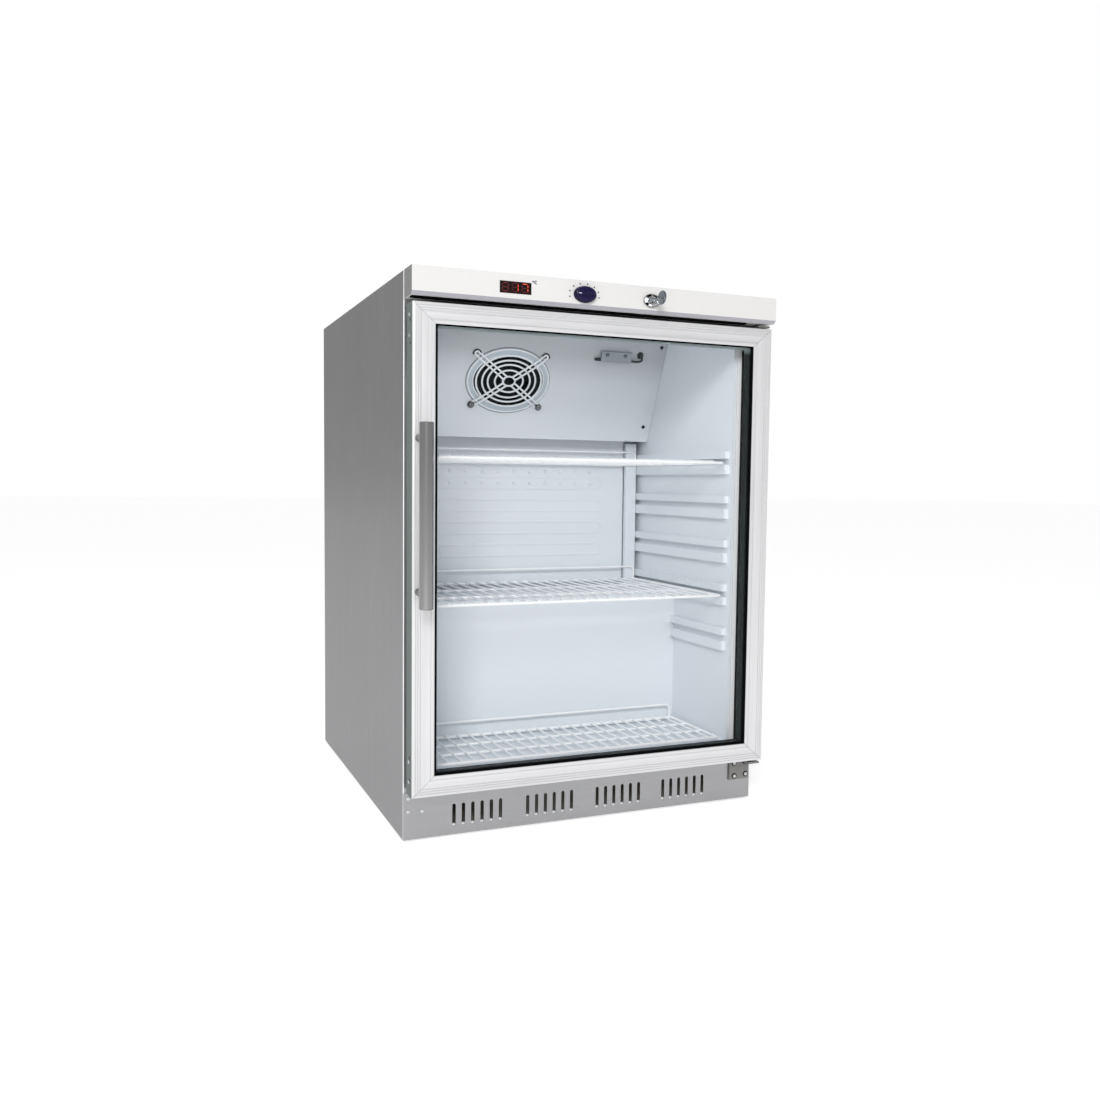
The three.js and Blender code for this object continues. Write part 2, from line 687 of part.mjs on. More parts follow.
function addControls() {
  const clear = 0.3;
  const faceHalfX = DISPLAY.width / 2 - clear;
  const faceHalfZ = DISPLAY.height / 2 - clear;
  const behind = FASCIA_FRONT + FASCIA_WALL + GAP;
  add('display_module', join(
    box([DISPLAY.x - faceHalfX, FASCIA_FRONT - 0.6, DISPLAY.z - faceHalfZ],
      [DISPLAY.x + faceHalfX, behind + 1, DISPLAY.z + faceHalfZ]),
    box([DISPLAY.x - faceHalfX - 6, behind, DISPLAY.z - faceHalfZ - 3],
      [DISPLAY.x + faceHalfX + 6, behind + 24, DISPLAY.z + faceHalfZ + 3]),
  ), FINISH.displayGlass);

  const shaftEnd = -30;
  const bodyFront = behind;
  add('thermostat_body', cut(
    box([KNOB.x - 18, bodyFront, KNOB.z - 12], [KNOB.x + 18, -10, KNOB.z + 12]),
    rod('y', 3.3, bodyFront - 1, shaftEnd + 2, KNOB.x, KNOB.z, 16),
  ), FINISH.galvanised);

  const knobBack = FASCIA_FRONT - 0.6;
  const knobFront = knobBack - KNOB.depth;
  const outline = (inset) => ellipse(
    KNOB.x, KNOB.z, KNOB.halfWidth - inset, KNOB.halfHeight - inset,
  );
  const skirt = extrudeY(outline(0), knobBack - 4, knobBack, 8);
  const crown = extrudeY(outline(1.5), knobFront, knobBack - 3.5, 8);
  const grip = box([KNOB.x - KNOB.halfWidth + 2.5, knobFront - KNOB.ridge, KNOB.z - 2.6],
    [KNOB.x + KNOB.halfWidth - 2.5, knobFront + 1, KNOB.z + 2.6]);
  add('thermostat_knob', join(
    skirt,
    crown,
    grip,
    rod('y', 3, knobBack - 1, shaftEnd, KNOB.x, KNOB.z, 12),
  ), FINISH.navyPlastic);
}

function addLock() {
  const flangeBack = FASCIA_FRONT - GAP;
  const barrelEnd = -20;
  const plugFront = flangeBack - 3.6;
  add('lock_body', cut(
    join(
      extrudeY(
        ellipse(LOCK.x, LOCK.z, LOCK.halfWidth, LOCK.halfHeight), flangeBack - 3, flangeBack, 10,
      ),
      rod('y', LOCK.barrel, flangeBack - 1, barrelEnd, LOCK.x, LOCK.z, 20),
    ),
    rod('y', LOCK.plug + 0.35, flangeBack - 5, barrelEnd + 1, LOCK.x, LOCK.z, 20),
  ), FINISH.chrome);

  const keyway = { width: 2.6, height: 7.4, depth: 25 };
  add('lock_cylinder', cut(
    rod('y', LOCK.plug, plugFront, barrelEnd, LOCK.x, LOCK.z, 20),
    box([LOCK.x - keyway.width / 2, plugFront - 1, LOCK.z - keyway.height / 2],
      [LOCK.x + keyway.width / 2, plugFront + keyway.depth, LOCK.z + keyway.height / 2]),
  ), FINISH.chrome);

  const camFront = barrelEnd + GAP;
  add('lock_cam', join(
    rod('y', 7, camFront, camFront + 2, LOCK.x, LOCK.z, 16),
    box([LOCK.x, camFront, LOCK.z - CAM_WIDTH / 2],
      [LOCK.x + CAM_LENGTH - 2, camFront + 2, LOCK.z + CAM_WIDTH / 2]),
  ), FINISH.steel);

  const bow = { y: -80, halfY: 12, halfZ: 10.3, thick: 3.2 };
  const bladeTip = plugFront + keyway.depth - 2;
  const head = extrudeX(withHoles(
    ellipse(bow.y, LOCK.z, bow.halfY, bow.halfZ),
    ellipse(bow.y - 6, LOCK.z, 2.4, 3.2),
  ), LOCK.x - bow.thick / 2, LOCK.x + bow.thick / 2, 10);
  add('key', join(
    head,
    box([LOCK.x - 1, bow.y + bow.halfY - 4, LOCK.z - 3.1], [LOCK.x + 1, bladeTip, LOCK.z + 3.1]),
  ), FINISH.chrome);
}

// ---------------------------------------------------------------- door

// Section of a frame member: u inwards from its outer edge, v back from the door's face. The face
// has a bevelled outer edge and a shallow groove, and the member is a tube with open ends.
function frameSection(width) {
  const grooveAt = 9;
  const groove = 1.6;
  const grooveDepth = 0.7;
  const outline = polygon([
    [0, 2],
    [2, 0],
    [grooveAt, 0],
    [grooveAt, grooveDepth],
    [grooveAt + groove, grooveDepth],
    [grooveAt + groove, 0],
    [width, 0],
    [width, 3],
    [width - REBATE, 3],
    [width - REBATE, FRAME_DEPTH],
    [0, FRAME_DEPTH],
  ]);
  const chamber = rectangle(
    FRAME_WALL + 0.5, FRAME_WALL + 0.8, width - REBATE - FRAME_WALL, FRAME_DEPTH - FRAME_WALL,
  );
  return withHoles(outline, chamber);
}

// A member with mitred ends. Its outer edge starts at `corner`; `inward` is the direction of u.
function frameMember(corner, inward, length, width, neighbourStart, neighbourEnd) {
  const mitreGap = 0.2;
  const geometry = extrude(frameSection(width), length);
  const position = geometry.attributes.position;
  for (let i = 0; i < position.count; i += 1) {
    const u = position.getX(i);
    const atStart = position.getZ(i) < length / 2;
    const start = u * neighbourStart / width + mitreGap;
    const end = length - u * neighbourEnd / width - mitreGap;
    position.setZ(i, atStart ? start : end);
  }
  const backward = new THREE.Vector3(0, 1, 0);
  const along = new THREE.Vector3().crossVectors(inward, backward);
  const turn = new THREE.Matrix4().makeBasis(inward, backward, along);
  return geometry.applyMatrix4(turn).translate(...corner);
}

function addDoorFrame() {
  const height = DOOR_TOP - DOOR_BOTTOM;
  const width = DOOR_HALF * 2;
  const right = new THREE.Vector3(1, 0, 0);
  const left = new THREE.Vector3(-1, 0, 0);
  const up = new THREE.Vector3(0, 0, 1);
  const down = new THREE.Vector3(0, 0, -1);
  const holeRadius = BUSH_RADIUS + GAP;
  const hingeHole = (z) => rod('z', holeRadius, z - 16, z + 16, HINGE_X, HINGE_Y, 16);

  const corner = (side, z) => [side * DOOR_HALF, DOOR_FRONT, z];
  const leftStile = frameMember(corner(-1, DOOR_BOTTOM), right, height, STILE, RAIL_LOW, RAIL_HIGH);
  const rightStile = frameMember(corner(1, DOOR_TOP), left, height, STILE, RAIL_HIGH, RAIL_LOW);
  const topRail = frameMember(corner(-1, DOOR_TOP), down, width, RAIL_HIGH, STILE, STILE);
  const bottomRail = frameMember(corner(1, DOOR_BOTTOM), up, width, RAIL_LOW, STILE, STILE);

  const camPocket = box(
    [LOCK.x - 9, -22.5, DOOR_TOP - FRAME_WALL - 2], [LOCK.x + 22, -14.5, DOOR_TOP + 1],
  );
  add('door_frame_left', leftStile, FINISH.aluminium);
  add('door_frame_right', cut(rightStile, hingeHole(DOOR_TOP), hingeHole(DOOR_BOTTOM)), FINISH.aluminium);
  add('door_frame_top', cut(topRail, camPocket, hingeHole(DOOR_TOP)), FINISH.aluminium);
  add('door_frame_bottom', cut(bottomRail, hingeHole(DOOR_BOTTOM)), FINISH.aluminium);
}

// A flat rectangular ring in the plane of the door, from `insetOuter` to `insetInner` inside the
// frame's outer edges.
function doorRing(insetOuter, insetInner, y0, y1) {
  const trim = { low: RAIL_LOW - STILE, high: RAIL_HIGH - STILE };
  const ring = (inset) => [
    -DOOR_HALF + inset,
    DOOR_BOTTOM + inset + trim.low,
    DOOR_HALF - inset,
    DOOR_TOP - inset - trim.high,
  ];
  const shape = withHoles(rectangle(...ring(insetOuter)), rectangle(...ring(insetInner)));
  return extrudeY(shape, y0, y1);
}

function addGlazing() {
  const edge = STILE - REBATE + 1;
  const paneHalf = DOOR_HALF - edge;
  const paneBottom = DOOR_BOTTOM + edge + RAIL_LOW - STILE;
  const paneTop = DOOR_TOP - edge - RAIL_HIGH + STILE;
  const front = DOOR_FRONT + PANE_FRONT;
  const spacerFront = front + PANE + GAP;
  const rear = spacerFront + SPACER_DEPTH + GAP;
  add('glazing_seal', doorRing(STILE - 6, STILE + 2, DOOR_FRONT + 3 + GAP, front - GAP),
    FINISH.blackRubber);
  add('front_glass_pane', slab(paneHalf, front, front + PANE, paneBottom, paneTop), FINISH.glass);
  const spacerRear = spacerFront + SPACER_DEPTH;
  add('glass_spacer', doorRing(edge + 2, STILE + SPACER_SIGHT, spacerFront, spacerRear),
    FINISH.blackPlastic);
  add('rear_glass_pane', slab(paneHalf, rear, rear + PANE, paneBottom, paneTop), FINISH.glass);

  const gasketOuter = 8.2;
  const gasketWidth = 16;
  const gasketFront = DOOR_FRONT + FRAME_DEPTH + GAP;
  add('door_gasket', doorRing(gasketOuter, gasketOuter + gasketWidth, gasketFront, -GAP),
    FINISH.blackRubber);
}

function addHandle() {
  add('handle_bar', rod('z', HANDLE_RADIUS, HANDLE_BOTTOM, HANDLE_TOP, HANDLE_X, HANDLE_Y, 24),
    FINISH.brushedSteel);
  const posts = { lower: HANDLE_BOTTOM + HANDLE_POST_INSET, upper: HANDLE_TOP - HANDLE_POST_INSET };
  Object.entries(posts).forEach(([place, z]) => {
    const barBack = HANDLE_Y + HANDLE_RADIUS + 0.4;
    add(`handle_post_${place}`, rod('y', POST_RADIUS, barBack, DOOR_FRONT - GAP, HANDLE_X, z, 16),
      FINISH.brushedSteel);
  });
}

// ---------------------------------------------------------------- hinges

function addHinges() {
  const plate = 3;
  const halfWidth = 18.5;
  const lowerTop = 73.5;
  const lowerBack = -SHEET - 2 * GAP;
  const [x0, x1] = [HINGE_X - 28, HINGE_X + 9.5];
  const reach = HINGE_Y - 9;
  add('lower_hinge_bracket', join(
    box([x0, lowerBack - plate, lowerTop - 2 * halfWidth], [x1, lowerBack, lowerTop]),
    box([HINGE_X - 12, reach, lowerTop - plate], [x1, lowerBack, lowerTop]),
    rod('z', PIN_RADIUS, lowerTop - 1, lowerTop + 17, HINGE_X, HINGE_Y, 20),
  ), FINISH.steel);
  const upperBottom = DOOR_TOP + 2;
  add('upper_hinge_bracket', join(
    box([x0, -GAP - plate, upperBottom], [x1, -GAP, upperBottom + 30]),
    box([HINGE_X - 12, reach, upperBottom], [x1, -GAP, upperBottom + plate]),
    rod('z', PIN_RADIUS, upperBottom - 16, upperBottom + 1, HINGE_X, HINGE_Y, 20),
  ), FINISH.steel);

  const bush = (z0, z1) => extrudeZ(withHoles(
    ellipse(HINGE_X, HINGE_Y, BUSH_RADIUS, BUSH_RADIUS),
    ellipse(HINGE_X, HINGE_Y, BUSH_BORE, BUSH_BORE),
  ), z0, z1, 10);
  add('lower_hinge_bush', bush(DOOR_BOTTOM, DOOR_BOTTOM + 14), FINISH.nylon);
  add('upper_hinge_bush', bush(DOOR_TOP - 14, DOOR_TOP), FINISH.nylon);
}

// ---------------------------------------------------------------- shelves

// A coated wire shelf: a rectangular frame, wires from front to back that end in its front and back
// bars and pass just over the cross bars, and a raised rail along the back. `seat` is the height of
// the surface that it rests on.
function shelf(seat, back, crossBars) {
  const z0 = seat + GAP;
  const z1 = z0 + FRAME_WIRE;
  const gridZ0 = z1 - 1;
  const gridZ1 = gridZ0 + GRID_WIRE;
  const step = 0.4;             // each kind of wire sits this much inside the one that it joins
  const bar = (y, bottom, top) => slab(SHELF_HALF - 1, y, y + FRAME_WIRE, bottom, top);
  const side = (x0) => box(
    [x0, SHELF_FRONT + step, z0 + step],
    [x0 + FRAME_WIRE, back - step, z1 - step],
  );
  const span = back - FRAME_WIRE - SHELF_FRONT;
  const middleBars = range(crossBars).map(
    (i) => bar(SHELF_FRONT + span * (i + 1) / (crossBars + 1), z0 + 2 * step, gridZ0 - GAP),
  );
  const wires = range(GRID_WIRES).map((i) => {
    const x = (i - (GRID_WIRES - 1) / 2) * GRID_PITCH;
    return box([x - GRID_WIRE / 2, SHELF_FRONT + 1, gridZ0], [x + GRID_WIRE / 2, back - 1, gridZ1]);
  });
  const railInset = 6;
  const railWire = 4;
  const railHalf = SHELF_HALF - railInset;
  const railTop = z1 + BACK_RAIL_HEIGHT;
  const [railFront, railBack] = [back - FRAME_WIRE + 0.5, back - 0.5];
  const rail = [
    slab(railHalf, railFront, railBack, railTop - railWire, railTop),
    box([-railHalf, railFront, z1 - 2], [-railHalf + railWire, railBack, railTop]),
    box([railHalf - railWire, railFront, z1 - 2], [railHalf, railBack, railTop]),
  ];
  return join(
    side(-SHELF_HALF),
    bar(SHELF_FRONT, z0, z1),
    bar(back - FRAME_WIRE, z0, z1),
    side(SHELF_HALF - FRAME_WIRE),
    ...middleBars,
    ...wires,
    ...rail,
  );
}

function addShelves() {
  const seat = (level) => SLOT_Z[level] - SLOT_HEIGHT / 2;
  add('shelf_top', shelf(seat(0), SHELF_BACK, 2), FINISH.coatedWire);
  add('shelf_middle', shelf(seat(3), SHELF_BACK, 2), FINISH.coatedWire);
  add('shelf_bottom', shelf(FLOOR_RIB_TOP, LOW_SHELF_BACK, 1), FINISH.coatedWire);
}

// ---------------------------------------------------------------- refrigerating machine

function addCompressor() {
  const { x, y } = COMPRESSOR;
  const floor = PAN_Z + SHEET + GAP;
  const plateZ = floor + 14;
  const profile = [
    [0, plateZ + 1],
    [62, plateZ + 1],
    [70, plateZ + 22],
    [74, plateZ + 60],
    [78, plateZ + 62],
    [78, plateZ + 67],
    [74, plateZ + 69],
    [72, plateZ + 110],
    [60, plateZ + 142],
    [34, plateZ + 156],
    [0, plateZ + 160],
  ].map(([r, z]) => new THREE.Vector2(r, z));
  const shell = new THREE.LatheGeometry(profile, 24).rotateX(Math.PI / 2).translate(x, y, 0);
  const mounts = [-1, 1].flatMap((sx) => [-1, 1].map((sy) => rod(
    'z', 11, floor, plateZ + 1, x + sx * 82, y + sy * 48, 12,
  )));
  add('compressor', join(
    shell,
    box([x - 100, y - 62, plateZ], [x + 100, y + 62, plateZ + 3]),
    box([x + 60, y - 30, plateZ + 30], [x + 96, y + 30, plateZ + 92]),
    ...mounts,
  ), FINISH.blackEnamel);

  const trayZ = plateZ + 166;
  add('evaporation_tray', cut(
    box([x - 88, y - 70, trayZ], [x + 88, y + 70, trayZ + 34]),
    box([x - 85.5, y - 67.5, trayZ + 2.5], [x + 85.5, y + 67.5, trayZ + 40]),
  ), FINISH.blackPlastic);

  const drier = { x: 120, y: 540, z: 90 };
  add('filter_drier', new THREE.LatheGeometry([
    [0, drier.z],
    [3, drier.z],
    [3, drier.z + 8],
    [11, drier.z + 20],
    [11, drier.z + 96],
    [3, drier.z + 108],
    [3, drier.z + 118],
    [0, drier.z + 118],
  ].map(([r, z]) => new THREE.Vector2(r, z)), 16).rotateX(Math.PI / 2).translate(drier.x, drier.y, 0),
  FINISH.copper);

  const outletX = x + 50;
  const outletZ = plateZ + 50;
  add('discharge_line', barAlong([
    [outletX, y + 62, outletZ],
    [outletX + 6, y + 80, outletZ],
    [outletX + 60, y + 100, outletZ + 12],
    [outletX + 150, y + 112, outletZ + 80],
    [outletX + 210, CONDENSER.y, outletZ + 150],
    [CONDENSER.half - 16, CONDENSER.y, CONDENSER.bottom - 40],
    [CONDENSER.half - 12, CONDENSER.y, CONDENSER.bottom - GAP - CONDENSER.tube / 2],
  ], 3, 22), FINISH.copper);
  add('suction_line', barAlong([
    [x - 50, y - 62, outletZ],
    [x - 56, y - 90, outletZ + 4],
    [x - 90, y - 140, outletZ + 40],
    [x - 120, y - 160, outletZ + 110],
    [x - 124, NICHE_FRONT + 40, outletZ + 152],
    [x - 124, NICHE_FRONT + SHEET + 1.2, outletZ + 152],
  ], 4, 20), FINISH.copper);
}

// Tube bent into a serpentine, with vertical wires welded to its first and last runs.
function addCondenser() {
  const { half, y, bottom, runs, pitch, tube } = CONDENSER;
  const bend = pitch / 2;
  const straight = half - bend;
  const halfTube = tube / 2;
  const shapes = [];
  range(runs).forEach((i) => {
    const z = bottom + i * pitch;
    const carriesWires = i === 0 || i === runs - 1;
    const back = y + halfTube + (carriesWires ? 1 : 0);
    shapes.push(box([-straight - 1, y - halfTube, z - halfTube], [straight + 1, back, z + halfTube]));
  });
  range(runs - 1).forEach((i) => {
    const z = bottom + (i + 0.5) * pitch;
    const side = i % 2 === 0 ? 1 : -1;
    const arc = new THREE.Shape();
    const turn = -Math.PI / 2;
    arc.absarc(0, 0, bend + halfTube, turn, -turn, false);
    arc.absarc(0, 0, bend - halfTube, -turn, turn, true);
    const piece = extrudeY(arc, y - halfTube, y + halfTube, 4).rotateY(side > 0 ? 0 : Math.PI);
    shapes.push(piece.translate(side * straight, 0, z));
  });
  const top = bottom + (runs - 1) * pitch;
  const wires = range(WIRE_COUNT).map((i) => {
    const x = (i - (WIRE_COUNT - 1) / 2) * (2 * straight / WIRE_COUNT);
    return box([x - 1, y + halfTube + GAP, bottom - 14], [x + 1, y + halfTube + 2.3, top + 14]);
  });
  const brackets = [-1, 1].flatMap((side) => [bottom + pitch, top - pitch].map((z) => box(
    [side * 120 - 8, FOAM_BACK + SHEET + 2 * GAP, z - 6], [side * 120 + 8, y, z + 6],
  )));
  add('condenser', join(...shapes, ...wires, ...brackets), FINISH.blackEnamel);
}

function addPowerInlet() {
  const [x0, x1] = [210, 262];
  const [z0, z1] = [60, 130];
  const [y0, y1] = [560, 600];
  add('power_inlet_box', cut(
    join(
      box([x0, y0, z0], [x1, y1, z1]),
      box([x0 + 14, y0, PAN_Z + SHEET + GAP], [x1 - 14, y1 - 20, z0 + 1]),
      rod('y', 11, y1 - 1, y1 + 16, (x0 + x1) / 2, (z0 + z1) / 2, 16),
    ),
    rod('y', 4.5, y1 - 12, y1 + 20, (x0 + x1) / 2, (z0 + z1) / 2, 12),
  ), FINISH.blackPlastic);
}

addShell();
addBase();
addInsulatedBody();
addEvaporatorPlate();
addAirCover();
addFan();
addFanGuard();
addProbe();
addFascia();
addControls();
addLock();
addDoorFrame();
addGlazing();
addHandle();
addHinges();
addShelves();
addCompressor();
addCondenser();
addPowerInlet();

export default refrigerator;
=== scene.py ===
from math import atan2, cos, hypot, pi, radians, sin, tau

import bmesh
import bpy
from mathutils import Matrix, Vector


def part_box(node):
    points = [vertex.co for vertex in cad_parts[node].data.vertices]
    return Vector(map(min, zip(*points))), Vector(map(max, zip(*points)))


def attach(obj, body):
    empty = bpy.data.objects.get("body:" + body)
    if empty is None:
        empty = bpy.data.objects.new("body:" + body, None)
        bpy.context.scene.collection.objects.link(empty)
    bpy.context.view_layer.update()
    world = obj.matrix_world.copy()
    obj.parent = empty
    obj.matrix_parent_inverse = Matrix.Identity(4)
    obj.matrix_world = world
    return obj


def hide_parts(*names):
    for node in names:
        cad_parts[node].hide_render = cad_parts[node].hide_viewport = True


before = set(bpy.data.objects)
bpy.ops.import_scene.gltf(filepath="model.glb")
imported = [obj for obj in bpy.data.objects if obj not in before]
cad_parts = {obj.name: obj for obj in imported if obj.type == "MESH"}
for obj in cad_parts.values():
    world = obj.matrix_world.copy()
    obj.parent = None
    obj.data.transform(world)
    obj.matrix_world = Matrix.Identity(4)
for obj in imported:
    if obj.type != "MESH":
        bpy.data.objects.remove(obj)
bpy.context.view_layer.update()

MM = 0.001


# ---------------- the frame's own sizes

class Box:
    """A CAD node's box at rest, in metres."""

    def __init__(self, node):
        low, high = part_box(node)
        self.low, self.high = Vector(low), Vector(high)
        self.x0, self.y0, self.z0 = self.low
        self.x1, self.y1, self.z1 = self.high
        self.centre = (self.low + self.high) / 2
        self.size = self.high - self.low


side_left = Box("left_side_panel")
FRONT = side_left.y0                    # the cabinet's front face
TILT = radians(22.5)
UP_SLOPE = Vector((0, -sin(TILT), cos(TILT)))
OFF_SLOPE = Vector((0, -cos(TILT), -sin(TILT)))
cover_box = Box("evaporator_cover")
COVER_HEIGHT = 197.5 * MM
COVER_BASE = Vector((0, cover_box.y0 + COVER_HEIGHT * sin(TILT), cover_box.z0))


def cab(x, y, z):
    """A point given in millimetres from the floor under the middle of the cabinet's front face."""
    return Vector((x * MM, FRONT + y * MM, z * MM))


def on_cover(x, y, z=0.0):
    """A point given in millimetres on the sloped air cover: across, up the slope, off its face."""
    return COVER_BASE + Vector((x * MM, 0, 0)) + UP_SLOPE * y * MM + OFF_SLOPE * z * MM


# ---------------- materials

def new_object(name, data):
    piece = bpy.data.objects.new(name, data)
    bpy.context.scene.collection.objects.link(piece)
    return piece


def set_inputs(node, **values):
    """Sets a node's sockets. An underscore in a name stands for a space."""
    for socket, value in values.items():
        node.inputs[socket.replace("_", " ")].default_value = value


def new_material(name):
    material = bpy.data.materials.new(name)
    material.use_nodes = True
    nodes = material.node_tree.nodes
    nodes.clear()
    output = nodes.new("ShaderNodeOutputMaterial")
    shader = nodes.new("ShaderNodeBsdfPrincipled")
    material.node_tree.links.new(shader.outputs["BSDF"], output.inputs["Surface"])
    return material, shader


class Nodes:
    """Short names for the few nodes that the materials share."""

    def __init__(self, material, shader):
        self.tree = material.node_tree
        self.shader = shader

    def node(self, kind, **values):
        made = self.tree.nodes.new(kind)
        for key, value in values.items():
            setattr(made, key, value)
        return made

    def link(self, a, b):
        self.tree.links.new(a, b)

    def place(self, scale=(1, 1, 1)):
        where = self.node("ShaderNodeTexCoord")
        mapping = self.node("ShaderNodeMapping")
        set_inputs(mapping, Scale=scale)
        self.link(where.outputs["Object"], mapping.inputs["Vector"])
        return mapping.outputs["Vector"]

    def noise(self, vector, scale, detail=3.0, rough=0.55):
        noise = self.node("ShaderNodeTexNoise")
        set_inputs(noise, Scale=scale, Detail=detail, Roughness=rough)
        self.link(vector, noise.inputs["Vector"])
        return noise.outputs["Fac"]

    def ramp(self, factor, stops):
        ramp = self.node("ShaderNodeValToRGB")
        points = ramp.color_ramp.elements
        while len(points) < len(stops):
            points.new(0.5)
        for point, (at, color) in zip(points, stops):
            point.position = at
            point.color = (*color, 1)
        self.link(factor, ramp.inputs["Fac"])
        return ramp.outputs["Color"]

    def scaled(self, value, low, high, from_low=0.3, from_high=0.7):
        made = self.node("ShaderNodeMapRange")
        set_inputs(made, From_Min=from_low, From_Max=from_high, To_Min=low, To_Max=high)
        self.link(value, made.inputs["Value"])
        return made.outputs["Result"]

    def multiply(self, a, b):
        mix = self.node("ShaderNodeMix", data_type="RGBA", blend_type="MULTIPLY")
        set_inputs(mix, Factor=1.0)
        self.link(a, mix.inputs["A"])
        self.link(b, mix.inputs["B"])
        return mix.outputs["Result"]

    def bump(self, height, strength, distance):
        bump = self.node("ShaderNodeBump")
        set_inputs(bump, Strength=strength, Distance=distance)
        self.link(height, bump.inputs["Height"])
        self.link(bump.outputs["Normal"], self.shader.inputs["Normal"])


def tint(color, factor):
    return tuple(min(1.0, channel * factor) for channel in color)


def shaded(made, base, shade):
    """base with light and shade painted in by place: shade has a list of (metres, brightness) for
    each axis.
    """
    for axis, table in shade.items():
        split = made.node("ShaderNodeSeparateXYZ")
        made.link(made.node("ShaderNodeTexCoord").outputs["Object"], split.inputs["Vector"])
        low, high = table[0][0], table[-1][0]
        level = made.scaled(split.outputs[axis], 0.0, 1.0, low, high)
        stops = [((at - low) / (high - low), (b,) * 3) for at, b in table]
        base = made.multiply(base, made.ramp(level, stops))
    return base


def plain(name, color, rough, metal=0.0, vary=0.05, grain=60.0, bump=0.05, depth=0.0002,
          rough_vary=0.06, shade={}, **sockets):
    """A finish with a fine grain: the colour, the roughness and the surface all vary a little."""
    material, shader = new_material(name)
    made = Nodes(material, shader)
    fine = made.noise(made.place(), grain, 4.0)
    broad = made.noise(made.place(), 5.0, 2.0)
    color_fine = made.ramp(fine, [(0.25, tint(color, 1 - vary)), (0.75, tint(color, 1 + vary))])
    color_broad = made.ramp(broad, [(0.3, (1 - vary,) * 3), (0.7, (1.0, 1.0, 1.0))])
    base = shaded(made, made.multiply(color_fine, color_broad), shade)
    made.link(base, shader.inputs["Base Color"])
    made.link(made.scaled(fine, rough - rough_vary, rough + rough_vary), shader.inputs["Roughness"])
    set_inputs(shader, Metallic=metal, **sockets)
    made.bump(fine, bump, depth)
    return material


def brushed(name, color, rough, along, vary=0.12, fine=900.0, length=0.012, metal=1.0, bump=0.08,
            rough_vary=0.1, streak=0.1, edge=1.0):
    """Metal with fine lines along one axis (0, 1 or 2). edge dims it where it is seen edge on."""
    stretch = [1.0, 1.0, 1.0]
    stretch[along] = length
    material, shader = new_material(name)
    made = Nodes(material, shader)
    lines = made.noise(made.place(stretch), fine, 3.0, 0.6)
    streaks = made.noise(made.place([s * 0.12 for s in stretch]), fine, 2.0)
    smudge = made.noise(made.place(), 3.5, 3.0)
    base = made.ramp(lines, [(0.3, tint(color, 1 - vary)), (0.7, tint(color, 1 + vary))])
    base = made.multiply(base, made.ramp(streaks, [(0.3, (1 - streak,) * 3), (0.7, (1.0,) * 3)]))
    base = made.multiply(base, made.ramp(smudge, [(0.25, (0.94,) * 3), (0.75, (1.0,) * 3)]))
    made.link(base, shader.inputs["Base Color"])
    made.link(made.scaled(lines, rough - rough_vary, rough + rough_vary),
              shader.inputs["Roughness"])
    set_inputs(shader, Metallic=metal, Specular_Tint=(edge, edge, edge, 1))
    made.bump(lines, bump, 0.0001)
    return material


def glass(name):
    material, shader = new_material(name)
    made = Nodes(material, shader)
    haze = made.noise(made.place(), 6.0, 3.0)
    made.link(made.ramp(haze, [(0.3, (0.02, 0.035, 0.035)), (0.7, (0.03, 0.05, 0.05))]),
              shader.inputs["Base Color"])
    made.link(made.scaled(haze, 0.02, 0.05), shader.inputs["Roughness"])
    set_inputs(shader, Alpha=0.025, IOR=1.5)
    return material


FINISH = {}


def finish(make, name, *values, **more):
    FINISH[name] = make(name, *values, **more)


finish(brushed, "side_steel", (0.4, 0.4, 0.41), 0.36, 2, vary=0.03, streak=0.03, bump=0.03,
       edge=0.6)
finish(brushed, "top_steel", (0.44, 0.44, 0.455), 0.52, 0, vary=0.03, edge=0.7)
finish(brushed, "steel_x", (0.29, 0.29, 0.3), 0.34, 0, vary=0.03, streak=0.04, bump=0.03,
       edge=0.6)
finish(brushed, "base_steel", (0.38, 0.38, 0.39), 0.36, 0, vary=0.03, streak=0.03, bump=0.03,
       edge=0.6)
finish(plain, "bracket_steel", (0.21, 0.205, 0.2), 0.4, 0.5, vary=0.3, grain=700.0, bump=0.3)
finish(plain, "galvanised", (0.6, 0.62, 0.63), 0.42, 0.85, vary=0.14, grain=35.0, bump=0.1,
       rough_vary=0.1)
finish(brushed, "aluminium_x", (0.7, 0.7, 0.71), 0.4, 0, vary=0.03, metal=0.5, bump=0.05)
finish(brushed, "aluminium_z", (0.7, 0.7, 0.71), 0.4, 2, vary=0.03, metal=0.5, bump=0.05)
# white_sheet's Z table is painted shade: darker towards the top of the cavity, under the header.
finish(plain, "white_sheet", (0.8, 0.835, 0.87), 0.42, vary=0.03, grain=250.0, bump=0.06,
       shade={"Z": [(0.3, 1.0), (0.66, 1.0), (0.72, 0.88), (0.768, 0.62)]})
finish(plain, "white_plastic", (0.6, 0.593, 0.585), 0.5, vary=0.01, grain=220.0, bump=0.03)
finish(plain, "liner", (0.79, 0.83, 0.875), 0.42, vary=0.01, grain=260.0, bump=0.02)
finish(plain, "foam", (0.78, 0.68, 0.42), 0.9, vary=0.12, grain=160.0, bump=0.5, depth=0.001)
finish(plain, "black_rubber", (0.02, 0.022, 0.024), 0.6, vary=0.2, grain=300.0, bump=0.15)
finish(plain, "black_plastic", (0.022, 0.022, 0.025), 0.45, vary=0.2, grain=380.0, bump=0.2)
finish(plain, "navy_plastic", (0.006, 0.003, 0.036), 0.26, vary=0.1, grain=300.0, bump=0.04,
       Specular_IOR_Level=0.2)
finish(plain, "display", (0.012, 0.003, 0.004), 0.3, vary=0.2, grain=200.0, bump=0.0,
       rough_vary=0.03, Specular_IOR_Level=0.15)
finish(glass, "glass")
finish(plain, "chrome", (0.5, 0.51, 0.52), 0.16, 1.0, vary=0.1, grain=130.0, bump=0.02,
       rough_vary=0.05)
